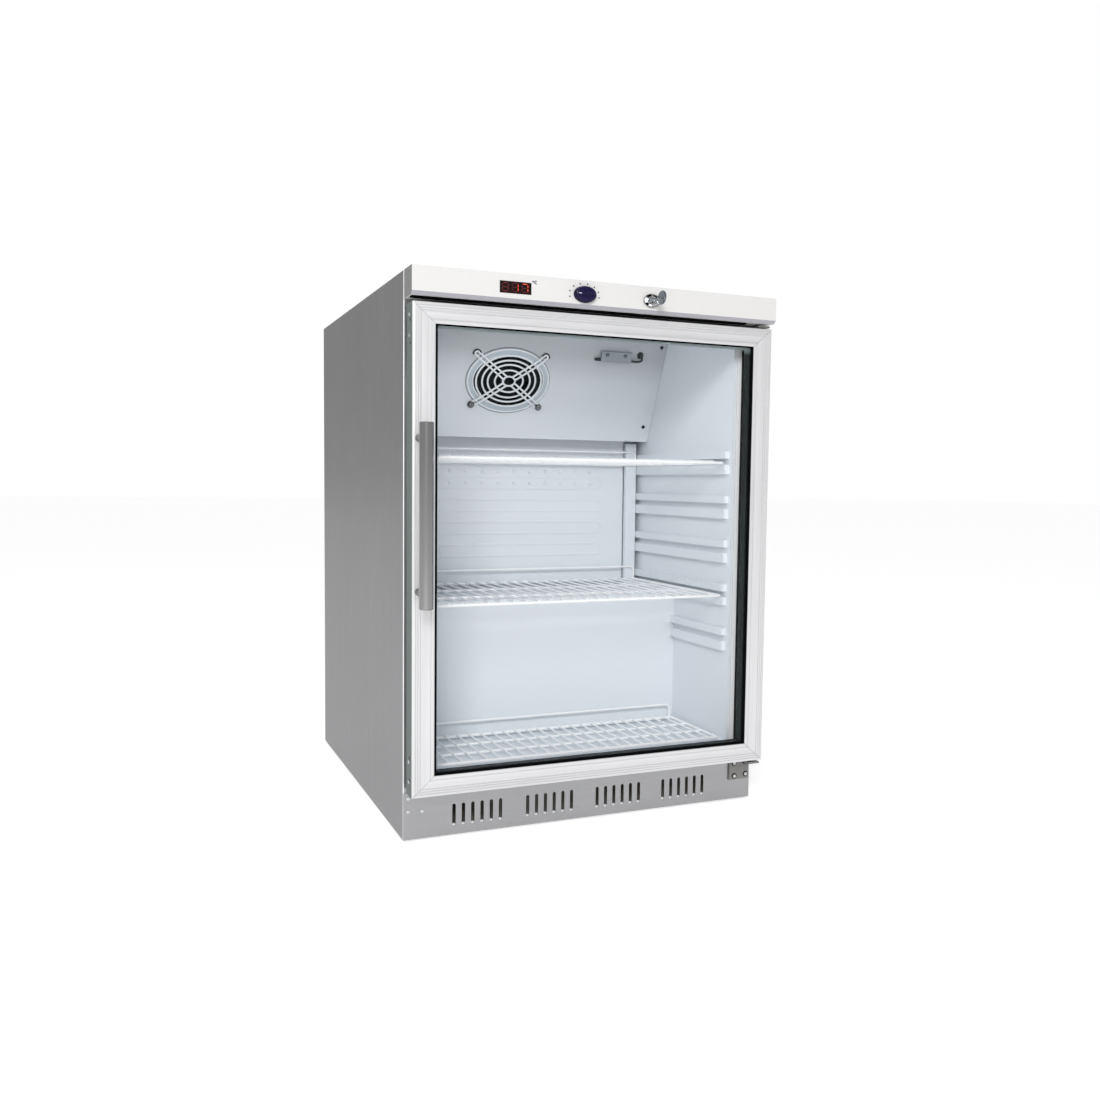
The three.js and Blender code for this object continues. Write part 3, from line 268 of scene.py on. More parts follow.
finish(brushed, "handle_steel", (0.3, 0.3, 0.3), 0.2, 2, vary=0.03, streak=0.05, bump=0.02,
       rough_vary=0.04)
finish(plain, "coated_wire", (0.96, 0.97, 0.985), 0.3, vary=0.02, grain=200.0, bump=0.05,
       Coat_Weight=0.2)
finish(plain, "grey_plastic", (0.33, 0.36, 0.38), 0.5, vary=0.06, grain=380.0, bump=0.15)
finish(plain, "black_enamel", (0.016, 0.016, 0.018), 0.3, vary=0.2, grain=90.0, bump=0.12,
       Coat_Weight=0.4)
finish(plain, "copper", (0.72, 0.36, 0.2), 0.3, 1.0, vary=0.16, grain=45.0, bump=0.04)
finish(plain, "nylon", (0.72, 0.71, 0.66), 0.5, vary=0.05, grain=250.0, bump=0.1)
finish(plain, "zinc_screw", (0.66, 0.67, 0.68), 0.28, 1.0, vary=0.08, grain=90.0, bump=0.04)
finish(plain, "mark_ink", (0.03, 0.025, 0.07), 0.5, vary=0.1, grain=300.0, bump=0.02)
# Guard wires; the same finish is also the painted highlight on the fan rim's beads.
finish(plain, "guard_wire", (0.9, 0.92, 0.94), 0.3, vary=0.03, grain=150.0)
# White trim; the same finish is also a painted highlight on the side panels' folds and on the lock.
finish(plain, "edge_white", (0.93, 0.94, 0.95), 0.35, vary=0.02, grain=200.0)
# Painted shade on the fascia's ends, with a painted highlight strip along their back edge.
finish(plain, "cap_grey", (0.9, 0.9, 0.91), 0.42, vary=0.03, grain=250.0, shade={"Y": [
       (FRONT - 50 * MM, 0.19), (FRONT - 4.6 * MM, 0.19), (FRONT - 4.4 * MM, 1.0), (FRONT, 1.0)]})
# Painted shade on the fascia's downward lower chamfer.
finish(plain, "trim_grey", (0.34, 0.335, 0.37), 0.4, vary=0.03, grain=250.0)
finish(plain, "side_teal", (0.13, 0.155, 0.148), 0.5, vary=0.03, grain=200.0,
       Specular_IOR_Level=0.1)
finish(plain, "trim_shadow", (0.16, 0.18, 0.2), 0.5, vary=0.1, grain=200.0)
finish(plain, "screw_grey", (0.25, 0.25, 0.25), 0.3, 0.7, vary=0.3, grain=300.0)
finish(plain, "post_steel", (0.14, 0.14, 0.14), 0.3, 0.8, vary=0.1, grain=90.0)
# Painted shade: the grey band on the fan's white rim.
finish(plain, "pale_trim", (0.5, 0.56, 0.61), 0.4, vary=0.03, grain=200.0)
finish(plain, "fan_black", (0.004, 0.004, 0.005), 0.5, vary=0.2, grain=300.0,
       Specular_IOR_Level=0.15)
# Dark screws and rims; also the painted shadow arcs over the cover's upper screws.
finish(plain, "dark_screw", (0.03, 0.03, 0.035), 0.4, 0.6, vary=0.2, grain=90.0)
finish(plain, "key_steel", (0.17, 0.195, 0.22), 0.3, 0.8, vary=0.35, grain=160.0)
# Black of the gaskets; also painted shadow in the gap under the fascia and painted dark reflections
# on the lock.
finish(plain, "gasket_black", (0.003, 0.0035, 0.004), 0.8, vary=0.2, grain=300.0, bump=0.03,
       Specular_IOR_Level=0.0)
# The Z table paints light on the spacer's top bar, light grey above 0.757 m; below that is the
# spacer's own dark colour.
finish(plain, "spacer", (0.5, 0.58, 0.6), 0.5, vary=0.1, grain=300.0, Specular_IOR_Level=0.1,
       shade={"Z": [(0.07, 0.05), (0.75, 0.04), (0.757, 0.6), (0.8, 0.6)]})
finish(plain, "pale_ink", (0.6, 0.6, 0.75), 0.5, vary=0.05, grain=300.0, bump=0.02)
finish(plain, "dim_red", (0.09, 0.006, 0.008), 0.3, vary=0.1, grain=300.0, bump=0.0)

for name, color, strength in (("red_glow", (0.6, 0.06, 0.02), 0.6),
                              ("faint_glow", (0.1, 0.008, 0.007), 0.4)):
    finish(plain, name, color, 0.4, vary=0.05, grain=200.0, bump=0.0,
           Emission_Color=(*color, 1), Emission_Strength=strength)


# ---------------- mesh helpers

def mesh_piece(name, vertices, faces, finish, body, slot=None, smooth=35, replaces=()):
    """Makes one mesh object, closed and with its normals outwards, and rides it on a body."""
    mesh = bpy.data.meshes.new(name)
    mesh.from_pydata([tuple(v) for v in vertices], [], faces)
    made = bmesh.new()
    made.from_mesh(mesh)
    bmesh.ops.remove_doubles(made, verts=made.verts, dist=1e-7)
    bmesh.ops.recalc_face_normals(made, faces=made.faces)
    for face in made.faces:
        face.smooth = True
    for edge in made.edges:
        edge.smooth = (len(edge.link_faces) == 2
                       and edge.calc_face_angle(0.0) <= radians(smooth))
    made.to_mesh(mesh)
    made.free()
    piece = new_object(name, mesh)
    mesh.materials.append(FINISH[finish])
    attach(piece, body)
    if replaces:
        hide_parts(*replaces)
    return piece


class Build:
    """Gathers solids that end up in one mesh."""

    def __init__(self):
        self.vertices, self.faces = [], []

    def add(self, vertices, faces):
        start = len(self.vertices)
        self.vertices.extend(vertices)
        self.faces.extend(tuple(start + i for i in face) for face in faces)
        return self

    def rings(self, rings, closed=False):
        """Skins a list of equally long rings of points. closed joins the last ring to the first."""
        count = len(rings[0])
        faces = []
        last = len(rings) if closed else len(rings) - 1
        for i in range(last):
            a, b = i * count, (i + 1) % len(rings) * count
            for j in range(count):
                k = (j + 1) % count
                faces.append((a + j, a + k, b + k, b + j))
        if not closed:
            faces.append(tuple(range(count))[::-1])
            faces.append(tuple((len(rings) - 1) * count + j for j in range(count)))
        return self.add([p for ring in rings for p in ring], faces)

    def tube(self, points, radius, sides=8, closed=False):
        """A round bar along a path."""
        points = [Vector(p) for p in points]
        count = len(points)
        tangents = []
        for i in range(count):
            if closed:
                before, after = points[i - 1], points[(i + 1) % count]
            else:
                before, after = points[max(i - 1, 0)], points[min(i + 1, count - 1)]
            tangents.append((after - before).normalized())
        first = tangents[0]
        side = first.cross(Vector((0, 0, 1)))
        if side.length < 0.1:
            side = first.cross(Vector((0, 1, 0)))
        side.normalize()
        rings = []
        for point, tangent in zip(points, tangents):
            side = (side - tangent * side.dot(tangent)).normalized()
            other = tangent.cross(side)
            rings.append([point + (side * cos(t) + other * sin(t)) * radius
                          for t in turns(sides)])
        return self.rings(rings, closed)

    def lathe(self, profile, origin, axis, sides=24, squash=(1.0, 1.0)):
        """Turns (radius, height) pairs about an axis through origin. The ends close on the axis."""
        axis = Vector(axis).normalized()
        u, v = across(axis)
        rings = [[Vector(origin) + axis * h + (u * cos(t) * squash[0]
                                               + v * sin(t) * squash[1]) * r
                  for t in turns(sides)] for r, h in profile]
        return self.rings(rings)

    def prism(self, outline, origin, u, v, depth, bevel=0.0):
        """A flat outline in the plane of u and v, with a thickness vector and bevelled rims."""
        origin, depth = Vector(origin), Vector(depth)
        if bevel <= 0:
            base = [origin + u * a + v * b for a, b in outline]
            return self.rings([base, [p + depth for p in base]])
        inner = inset_outline(outline, bevel)
        along = depth.normalized()
        flat = [origin + u * a + v * b for a, b in outline]
        small = [origin + u * a + v * b for a, b in inner]
        step = along * bevel
        return self.rings([small, [p + step for p in flat], [p + depth - step for p in flat],
                           [p + depth for p in small]])

    def box(self, low, high, bevel=0.0):
        (x0, y0, z0), (x1, y1, z1) = low, high
        outline = [(x0, y0), (x1, y0), (x1, y1), (x0, y1)]
        return self.prism(outline, (0, 0, z0), X, Y, Z * (z1 - z0), bevel)

    def piece(self, name, finish, body="cabinet", **more):
        return mesh_piece(name, self.vertices, self.faces, finish, body, **more)


X, Y, Z = Vector((1, 0, 0)), Vector((0, 1, 0)), Vector((0, 0, 1))


def turns(count):
    return [tau * i / count for i in range(count)]


def mm(pairs):
    return [(a * MM, b * MM) for a, b in pairs]


def across(axis):
    """Two unit vectors at right angles to an axis and to each other."""
    helper = Z if abs(axis.z) < 0.9 else X
    u = helper.cross(axis).normalized()
    return u, axis.cross(u)


def inset_outline(outline, by):
    """Moves each corner of a convex-ish outline inwards by the same distance from both edges."""
    count = len(outline)
    area = sum(outline[i - 1][0] * outline[i][1] - outline[i][0] * outline[i - 1][1]
               for i in range(count))
    sign = 1 if area > 0 else -1
    moved = []
    for i, (x, y) in enumerate(outline):
        (ax, ay), (bx, by_) = outline[i - 1], outline[(i + 1) % count]
        e1 = Vector((x - ax, y - ay)).normalized()
        e2 = Vector((bx - x, by_ - y)).normalized()
        n1 = Vector((-e1.y, e1.x)) * sign
        n2 = Vector((-e2.y, e2.x)) * sign
        middle = n1 + n2
        scale = by / max(0.3, 1 + n1.dot(n2))
        moved.append((x + middle.x * scale, y + middle.y * scale))
    return moved


def rounded(x0, z0, x1, z1, radius, steps=5):
    """Corner points of a rectangle with rounded corners, anticlockwise."""
    points = []
    for cx, cz, start in ((x1 - radius, z0 + radius, -90), (x1 - radius, z1 - radius, 0),
                          (x0 + radius, z1 - radius, 90), (x0 + radius, z0 + radius, 180)):
        for i in range(steps + 1):
            angle = radians(start + 90 * i / steps)
            points.append((cx + radius * cos(angle), cz + radius * sin(angle)))
    return points


def screw(build, centre, out, radius, height):
    """A pan head: a domed disc with a round recess in its middle."""
    head = [(radius, 0.0), (radius, height * 0.45), (radius * 0.9, height * 0.8),
            (radius * 0.6, height), (radius * 0.34, height), (radius * 0.2, height * 0.35),
            (radius * 0.02, height * 0.3)]
    build.lathe([(radius * 0.98 * MM, -0.4 * MM)] + mm(head), centre, out, 16)


# ---------------- camera, light, floor

def look(position, right, up, back):
    matrix = Matrix((right, up, back)).transposed().to_4x4()
    matrix.translation = position
    return matrix


PHOTO_FOCAL, PHOTO_WIDTH = 1015.4, 1100.0       # in pixels


def add_camera():
    camera = bpy.data.cameras.new("camera")
    camera.sensor_width = 36.0
    camera.lens = camera.sensor_width * PHOTO_FOCAL / PHOTO_WIDTH
    camera.clip_end = 100.0
    piece = new_object("camera", camera)
    forward = Vector((0.3866, 0.9199, -0.0663)).normalized()
    right = Vector((0.9221, -0.3868, 0.0109))
    right = (right - forward * right.dot(forward)).normalized()
    piece.matrix_world = look(cab(-680.0, -1449.6, 537.7), right, right.cross(forward), -forward)
    bpy.context.scene.camera = piece


def area_light(name, position, target, size, power):
    light = bpy.data.lights.new(name, "AREA")
    light.shape = "RECTANGLE"
    light.size, light.size_y = size
    light.energy = power
    piece = new_object(name, light)
    direction = Vector(target) - Vector(position)
    piece.matrix_world = (Matrix.Translation(position)
                          @ direction.to_track_quat("-Z", "Y").to_matrix().to_4x4())
    return piece


def add_studio():
    scene = bpy.context.scene
    scene.view_settings.view_transform = "Standard"
    world = bpy.data.worlds.new("studio")
    scene.world = world
    world.use_nodes = True
    tree = world.node_tree
    background = tree.nodes["Background"]
    set_inputs(background, Color=(1.0, 1.0, 1.0, 1))
    rays = tree.nodes.new("ShaderNodeLightPath")
    level = tree.nodes.new("ShaderNodeMapRange")
    set_inputs(level, To_Min=0.6, To_Max=1.0)
    tree.links.new(rays.outputs["Is Camera Ray"], level.inputs["Value"])
    tree.links.new(level.outputs["Result"], background.inputs["Strength"])

    size = 30.0
    build = Build()
    corners = ((-1, -1), (1, -1), (1, 1), (-1, 1))
    build.rings([[Vector((sx * size, sy * size, z)) for sx, sy in corners] for z in (-0.02, 0.0)])
    mesh = bpy.data.meshes.new("floor")
    mesh.from_pydata([tuple(v) for v in build.vertices], [], build.faces)
    floor = new_object("floor", mesh)
    mesh.materials.append(plain("floor_paint", (0.76, 0.76, 0.76), 0.6, vary=0.004, grain=3.0,
                                bump=0.0, Emission_Color=(1, 1, 1, 1), Emission_Strength=0.5))

    area_light("key", cab(-1700, -3300, 2250), cab(0, 200, 420), (1.1, 1.1), 106.0)
    lamp = area_light("cavity_lamp", cab(-40, 60, 750), cab(80, 230, 420), (0.36, 0.06), 0.16)
    lamp.visible_camera = False


# ---------------- finishes of the CAD nodes

CAD_FINISH = {
    "side_steel": "left_side_panel right_side_panel",
    "top_steel": "top_cover",
    "steel_x": "lower_front_rail lock_cam",
    "base_steel": "base_panel",
    "bracket_steel": "lower_hinge_bracket upper_hinge_bracket",
    "galvanised": "machine_compartment_wall back_panel thermostat_body base_pan",
    "aluminium_x": "door_frame_top door_frame_bottom",
    "aluminium_z": "door_frame_left door_frame_right",
    "white_sheet": "evaporator_cover evaporator_plate",
    "white_plastic": "control_fascia",
    "liner": "inner_liner drain_channel",
    "foam": "insulation",
    # upper_front_rail is painted black as the shadow in the gap under the fascia.
    "gasket_black": "glazing_seal door_gasket upper_front_rail",
    "spacer": "glass_spacer",
    "black_rubber": "cable_grommet probe_cable temperature_probe",
    "fan_black": "fan_housing fan_rotor",
    "black_plastic": "foot_front_left foot_front_right foot_back_left foot_back_right "
                      "evaporation_tray power_inlet_box",
    "navy_plastic": "thermostat_knob",
    "display": "display_module",
    "glass": "front_glass_pane rear_glass_pane",
    "chrome": "lock_body lock_cylinder key fan_guard",
    "handle_steel": "handle_bar handle_post_lower handle_post_upper",
    "coated_wire": "shelf_top shelf_middle shelf_bottom",
    "grey_plastic": "probe_clamp",
    "black_enamel": "compressor fan_motor condenser",
    "copper": "filter_drier discharge_line suction_line",
    "nylon": "lower_hinge_bush upper_hinge_bush",
}
BEVEL = {
    "control_fascia": 1.2, "left_side_panel": 0.35, "right_side_panel": 0.35, "top_cover": 0.35,
    "base_panel": 0.25, "lower_hinge_bracket": 0.5, "upper_hinge_bracket": 0.5,
    "probe_clamp": 1.5, "handle_bar": 0.8, "display_module": 0.3,
}


def shade_fascia(piece):
    """The fascia's ends and its lower chamfer get painted shade, darker than its front; the ends
    also get a painted highlight strip along their back edge.
    """
    for finish in ("cap_grey", "trim_grey"):
        piece.data.materials.append(FINISH[finish])
    for face in piece.data.polygons:
        if abs(face.normal.x) > 0.9:
            face.material_index = 1
        elif face.normal.z < -0.5 and face.normal.y < -0.5:
            face.material_index = 2


def finish_cad_nodes():
    for finish, nodes in CAD_FINISH.items():
        for node in nodes.split():
            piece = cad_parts[node]
            piece.data.materials.clear()
            piece.data.materials.append(FINISH[finish])
            width = BEVEL.get(node)
            if width:
                bevel = piece.modifiers.new("edge", "BEVEL")
                bevel.width = width * MM
                bevel.segments = 2
                bevel.limit_method = "ANGLE"
                bevel.angle_limit = radians(40)
                bevel.use_clamp_overlap = True
    shade_fascia(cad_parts["control_fascia"])


# ---------------- shelves

def add_shelf(node):
    """Round coated wires in place of the square ones, in a rounded frame with a back rail."""
    box = Box(node)
    frame_r, grid_r, rail_r = 2.5 * MM, 1.5 * MM, 2.0 * MM
    z = box.z0 + frame_r
    x0, x1 = box.x0 + frame_r, box.x1 - frame_r
    y0, y1 = box.y0 + frame_r, box.y1 - frame_r
    build = Build()
    loop = rounded(x0, y0, x1, y1, 4 * MM)
    build.tube([(x, y, z) for x, y in loop], frame_r, 10, closed=True)

    count, pitch = 23, 20.8 * MM
    grid_z = z + frame_r + 0.5 * MM
    for i in range(count):
        x = (i - (count - 1) / 2) * pitch
        drop = 1.6 * MM
        build.tube([(x, box.y0 + 1.2 * MM, grid_z - drop),
                    (x, box.y0 + 2.6 * MM, grid_z - drop / 4),
                    (x, box.y0 + 5 * MM, grid_z), (x, box.y1 - 1.5 * MM, grid_z)], grid_r, 8)
    bars = 2
    for i in range(bars):
        y = y0 + (y1 - y0) * (i + 1) / (bars + 1)
        build.tube([(x0, y, z - 0.6 * MM), (x1, y, z - 0.6 * MM)], 2.0 * MM, 8)

    rail_x = x1 - 4 * MM
    top, corner = box.z1 - rail_r, 9 * MM
    path = [(-rail_x, z)]
    path += [(-rail_x + corner * (1 - cos(t)), top - corner * (1 - sin(t)))
             for t in (radians(15 * i) for i in range(7))]
    path += [(-x, h) for x, h in reversed(path)]
    build.tube([(x, y1 - 0.4 * MM, h) for x, h in path], rail_r, 8)
    build.piece(node + "_wires", "coated_wire", node, slot="coated_wire", replaces=[node])


# ---------------- fan, guard and air cover

FAN = (-46.5, 108.0)
GUARD_RINGS = (11.4, 26.5, 39.8, 50.2, 61.4)
GUARD_ASPECT = 59.0 / 78.3
EYE_X, EYE_Y = 64.2, 46.4               # the guard's screw eyes, from the fan's middle


def oval(a, b, steps, lift):
    return [on_cover(FAN[0] + a * cos(t), FAN[1] + b * sin(t), lift)
            for t in turns(steps)]


def add_fan_guard():
    wire = 1.7
    build = Build()
    for a in GUARD_RINGS:
        build.tube(oval(a, a * GUARD_ASPECT, 40, 4.6), wire * MM, 8, closed=True)
    slope = atan2(EYE_Y, EYE_X)
    reach = hypot(EYE_X, EYE_Y)
    for angle in (slope, pi - slope, pi + slope, -slope):
        u, v = (cos(angle), sin(angle)), (-sin(angle), cos(angle))
        path = [(9, 3.8, 6.4), (30, 3.8, 6.8), (58, 3.8, 6.8), (68, 3.8, 5.4),
                (reach - 6, 3.8, 2.6)]
        eye = [(reach + 3.9 * cos(t), 3.9 * sin(t), 1.9)
               for t in (radians(130 - 26 * i) for i in range(11))]
        path += eye + [(a, -b, h) for a, b, h in reversed(path)]
        build.tube([on_cover(FAN[0] + u[0] * a + v[0] * b, FAN[1] + u[1] * a + v[1] * b, h)
                    for a, b, h in path], wire * MM, 8, closed=False)
    build.piece("fan_guard_wires", "guard_wire", slot="chrome", replaces=["fan_guard"])

    # The rim's shading is painted on the white cover: bright beads as painted highlights, a grey
    # band as painted shade and a dark ring as painted shadow.
    ring = Build()
    ring.tube(oval(76.2, 57.0, 56, 2.4), 1.3 * MM, 8, closed=True)
    ring.tube(oval(66.4, 47.2, 56, 2.2), 1.1 * MM, 8, closed=True)
    ring.piece("fan_ring_highlight_beads", "guard_wire", slot="white_sheet")
    band = Build()
    band.rings([oval(a, b, 56, lift) for a, b, lift in
                ((67.6, 48.4, 1.9), (67.6, 48.4, 2.35), (75.2, 56.0, 2.35), (75.2, 56.0, 1.9))],
               closed=True)
    band.piece("fan_rim_shade_band", "pale_trim", slot="white_sheet")
    groove = Build()
    groove.tube(oval(79.0, 59.9, 56, 0.25), 0.5 * MM, 6, closed=True)
    groove.piece("fan_rim_groove_shadow", "trim_shadow", slot="white_sheet")
    # A black sheet behind the fan: painted shadow that keeps the fan's hole dark.
    screen = Build()
    back = [oval(a, b, 40, lift) for a, b, lift in ((46, 45, -24.6), (46, 45, -25.2))]
    screen.rings(back)
    screen.piece("fan_rear_shadow_screen", "fan_black", slot="black_plastic")


BLADE_SECTION = ((-1, 0.0), (-0.4, 0.8), (0.4, 0.8), (1, 0.0), (0.4, -0.6), (-0.4, -0.6))


def add_fan_rotor():
    """Five swept blades on a domed hub, in place of the flat ones."""
    build = Build()
    back, front = 23.8, 5.2
    hub = [(16.5, -back), (17.2, -back + 2), (17.2, -front - 2.5), (15.5, -front - 0.5),
           (9, -front), (0.3, -front)]
    centre = on_cover(*FAN)
    build.lathe(mm(hub), centre, OFF_SLOPE, 32)
    for blade in range(5):
        rings = []
        for i in range(7):
            r = 15.5 + (43 - 15.5) * i / 6
            spin = tau * blade / 5 + 0.22 * i / 6
            half = 13 + 5 * sin(pi * i / 7)
            pitch = radians(50 - 18 * i / 6)
            section = []
            for side, thick in BLADE_SECTION:
                along = side * half
                flat = along * cos(pitch) - thick * sin(pitch)
                deep = along * sin(pitch) * 0.42 + thick * cos(pitch)
                turn = spin + flat / max(r, 1)
                section.append(on_cover(FAN[0] + r * cos(turn), FAN[1] + r * sin(turn),
                                        -14.5 + deep))
            rings.append(section)
        build.rings(rings)
    build.piece("fan_blades", "fan_black", "fan", slot="black_plastic", replaces=["fan_rotor"])


def add_cover_screws():
    grey, dark = Build(), Build()
    for x in (-EYE_X, EYE_X):
        spot = (FAN[0] + x, FAN[1] - EYE_Y)
        screw(grey, on_cover(*spot, 3.4), OFF_SLOPE, 4.9, 2.2)
        dark.lathe(mm([(5.9, 0), (5.9, 3.9), (4.7, 3.9), (4.7, 0)]), on_cover(*spot, 0.3),
                   OFF_SLOPE, 24)
        spot = (FAN[0] + x, FAN[1] + EYE_Y)
        screw(grey, on_cover(*spot, 0.2), OFF_SLOPE, 3.0, 1.6)
        # Dark arcs over the upper screws: painted shadow.
        arc = [radians(-20 + 20 * i) for i in range(12)]
        dark.tube([on_cover(spot[0] + 6.6 * cos(t), spot[1] + 6.2 * sin(t), 1.7)
                   for t in arc], 1.5 * MM, 8)
    for x in (134.2, 170.4):
        screw(grey, on_cover(x, 168.0, 8.7), OFF_SLOPE, 2.6, 1.6)
        dark.lathe(mm([(3.5, 0), (3.5, 0.4), (2.5, 0.4), (2.5, 0)]), on_cover(x, 168.0, 8.65),
                   OFF_SLOPE, 20)
    for x, y in ((245.9, 185.8), (241.1, 30.2)):
        screw(dark, on_cover(x, y, 0.1), OFF_SLOPE, 3.4, 2.2)
    grey.piece("cover_screws", "screw_grey", slot="chrome")
    dark.piece("cover_screw_rims_and_shadow_arcs", "dark_screw", slot="black_plastic")


def add_probe():
    """The probe with a rounded tip, and its cable on a smooth curve into the grommet."""
    box = Box("temperature_probe")
    r = 2.9 * MM
    end = [(r * sin(radians(a)), r * (1 - cos(radians(a))))
           for a in (6, 30, 55, 75, 90)]
    length = box.size.x
    profile = end + [(r, length - 12 * MM), (r * 0.8, length - 11.4 * MM), (r * 0.8, length)]
    build = Build().lathe(profile, (box.x0, box.centre.y, box.centre.z), X, 16)
    build.piece("probe_sleeve", "black_rubber", slot="black_rubber",
                replaces=["temperature_probe"])
    path = [(170.8, 157.5, 3.4), (182.8, 157.5, 3.4), (198.3, 157.5, 5.4), (205.8, 161.0, 6.9),
            (204.9, 166.7, 6.0), (204.3, 168.5, 2.0), (204.3, 168.5, -12.0)]
    Build().tube(spline([on_cover(*p) for p in path], 6), 1.9 * MM, 10).piece(
        "probe_lead", "black_rubber", slot="black_rubber", replaces=["probe_cable"])


def spline(points, steps):
    """A smooth curve through the points (Catmull-Rom)."""
    points = [Vector(p) for p in points]
    padded = [points[0] * 2 - points[1]] + points + [points[-1] * 2 - points[-2]]
    path = []
    for a, b, c, d in zip(padded, padded[1:], padded[2:], padded[3:]):
        for i in range(steps):
            t = i / steps
            path.append(0.5 * (2 * b + (c - a) * t + (2 * a - 5 * b + 4 * c - d) * t ** 2
                               + (3 * b - a - 3 * c + d) * t ** 3))
    return path + [points[-1]]


# ---------------- evaporator plate

def add_evaporator_plate():
    """The roll-bond plate: a sheet with raised refrigerant channels and two rows of bosses."""
    box = Box("evaporator_plate")
    front = FRONT + 338 * MM
    build = Build()
    outline = rounded(box.x0, box.z0, box.x1, box.z1, 6 * MM)
    build.prism(outline, (0, front, 0), X, Z, Y * 1.8 * MM, 0.3 * MM)

    pitch, first, rows = 21 * MM, 400 * MM, 9
    left, right = -190 * MM, 168 * MM
    path = []
    for row in range(rows):
        z = first + row * pitch
        ends = (left, right) if row % 2 == 0 else (right, left)
        side = 1 if ends[1] > ends[0] else -1
        path += [(ends[0], z), (ends[1], z)]
        if row < rows - 1:
            path += [(ends[1] + side * pitch / 2 * sin(t), z + pitch / 2 * (1 - cos(t)))
                     for t in (pi * i / 8 for i in range(1, 8))]
    path += [(right + 26 * MM, first + (rows - 1) * pitch), (right + 26 * MM, box.z1 - 20 * MM)]
    half = 2.6 * MM
    raised_channel(build, path, half, 1.3 * MM, front)
    for row in range(2):
        for i in range(10):
            x = (-128.7 + 31.3 * i) * MM
            z = first + (6.5 + row) * pitch
            build.lathe(mm([(3.6, -0.3), (3.4, 0.5), (2.4, 1.4), (0.6, 1.9)]), (x, front, z),
                        -Y, 12)
    build.piece("roll_bond_plate", "white_sheet", slot="white_sheet",
                replaces=["evaporator_plate"])


def raised_channel(build, path, half, height, front):
    """A flat-backed bead along a path in the plane of the plate."""
    points = [Vector((x, 0, z)) for x, z in path]
    rings = []
    for i, point in enumerate(points):
        before, after = points[max(i - 1, 0)], points[min(i + 1, len(points) - 1)]
        along = (after - before).normalized()
        side = Vector((-along.z, 0, along.x))
        ring = []
        for k in range(6):
            t = pi * k / 5
            ring.append(Vector((point.x, front, point.z)) + side * half * cos(t)
                        + Vector((0, 0.2 * MM - height * sin(t), 0)))
        rings.append(ring)
    build.rings(rings)


# ---------------- controls

SEGMENTS = {"a": ((0.1, 1), (0.9, 1)), "b": ((1, 0.9), (1, 0.55)), "c": ((1, 0.45), (1, 0.1)),
            "d": ((0.1, 0), (0.9, 0)), "e": ((0, 0.1), (0, 0.45)), "f": ((0, 0.55), (0, 0.9)),
            "g": ((0.1, 0.5), (0.9, 0.5))}
DIGITS = {"8": "abcdefg", "1": "bc", "7": "abc"}


def add_display():
    box = Box("display_module")
    window = Box("control_fascia")
    y = box.y0
    middle = cab(-149.0, 0, 820.0)
    lit, faint, dim = Build(), Build(), Build()
    width, height, gap = 9.2, 11.8, 6.0
    text = "817"
    start = -20.8
    for i, digit in enumerate(text):
        x0 = start + i * (width + gap)
        for key, (a, b) in SEGMENTS.items():
            build = dim if key not in DIGITS[digit] else faint if i == 0 else lit
            ends = [Vector((x0 + px * width, (pz - 0.5) * height)) for px, pz in (a, b)]
            along = (ends[1] - ends[0]).normalized()
            side = Vector((-along.y, along.x)) * 0.55
            first, last = ends
            shape = [first - along * 0.1, first + along * 0.6 + side, last - along * 0.6 + side,
                     last + along * 0.1, last - along * 0.6 - side, first + along * 0.6 - side]
            build.prism(mm(shape), (middle.x, y - 0.15 * MM, middle.z),
                        X, Z, Y * 0.2 * MM)
    lit.piece("display_digits", "red_glow", slot="display")
    faint.piece("display_faint_digit", "faint_glow", slot="display")
    dim.piece("display_unlit_segments", "dim_red", slot="display")

    degree = Build()
    front = window.y0
    spot = (middle.x + 27.2 * MM, front - 0.1 * MM, middle.z + 11.0 * MM)
    degree.rings([[Vector(spot) + X * r * MM * cos(t) + Z * r * MM * sin(t) + Y * d * MM
                   for t in turns(14)]
                  for r, d in ((1.4, 0.0), (1.4, 0.15), (0.5, 0.15), (0.5, 0.0))], closed=True)
    arc = []
    for r in (2.7, 1.3):
        arc.append([(4.4 + r * cos(t), -1.0 + r * sin(t))
                    for t in (radians(50 + 260 * i / 10) for i in range(11))])
    outline = arc[0] + arc[1][::-1]
    degree.prism(mm(outline), spot, X, Z, Y * 0.15 * MM)
    degree.piece("degree_mark", "mark_ink", slot="display")


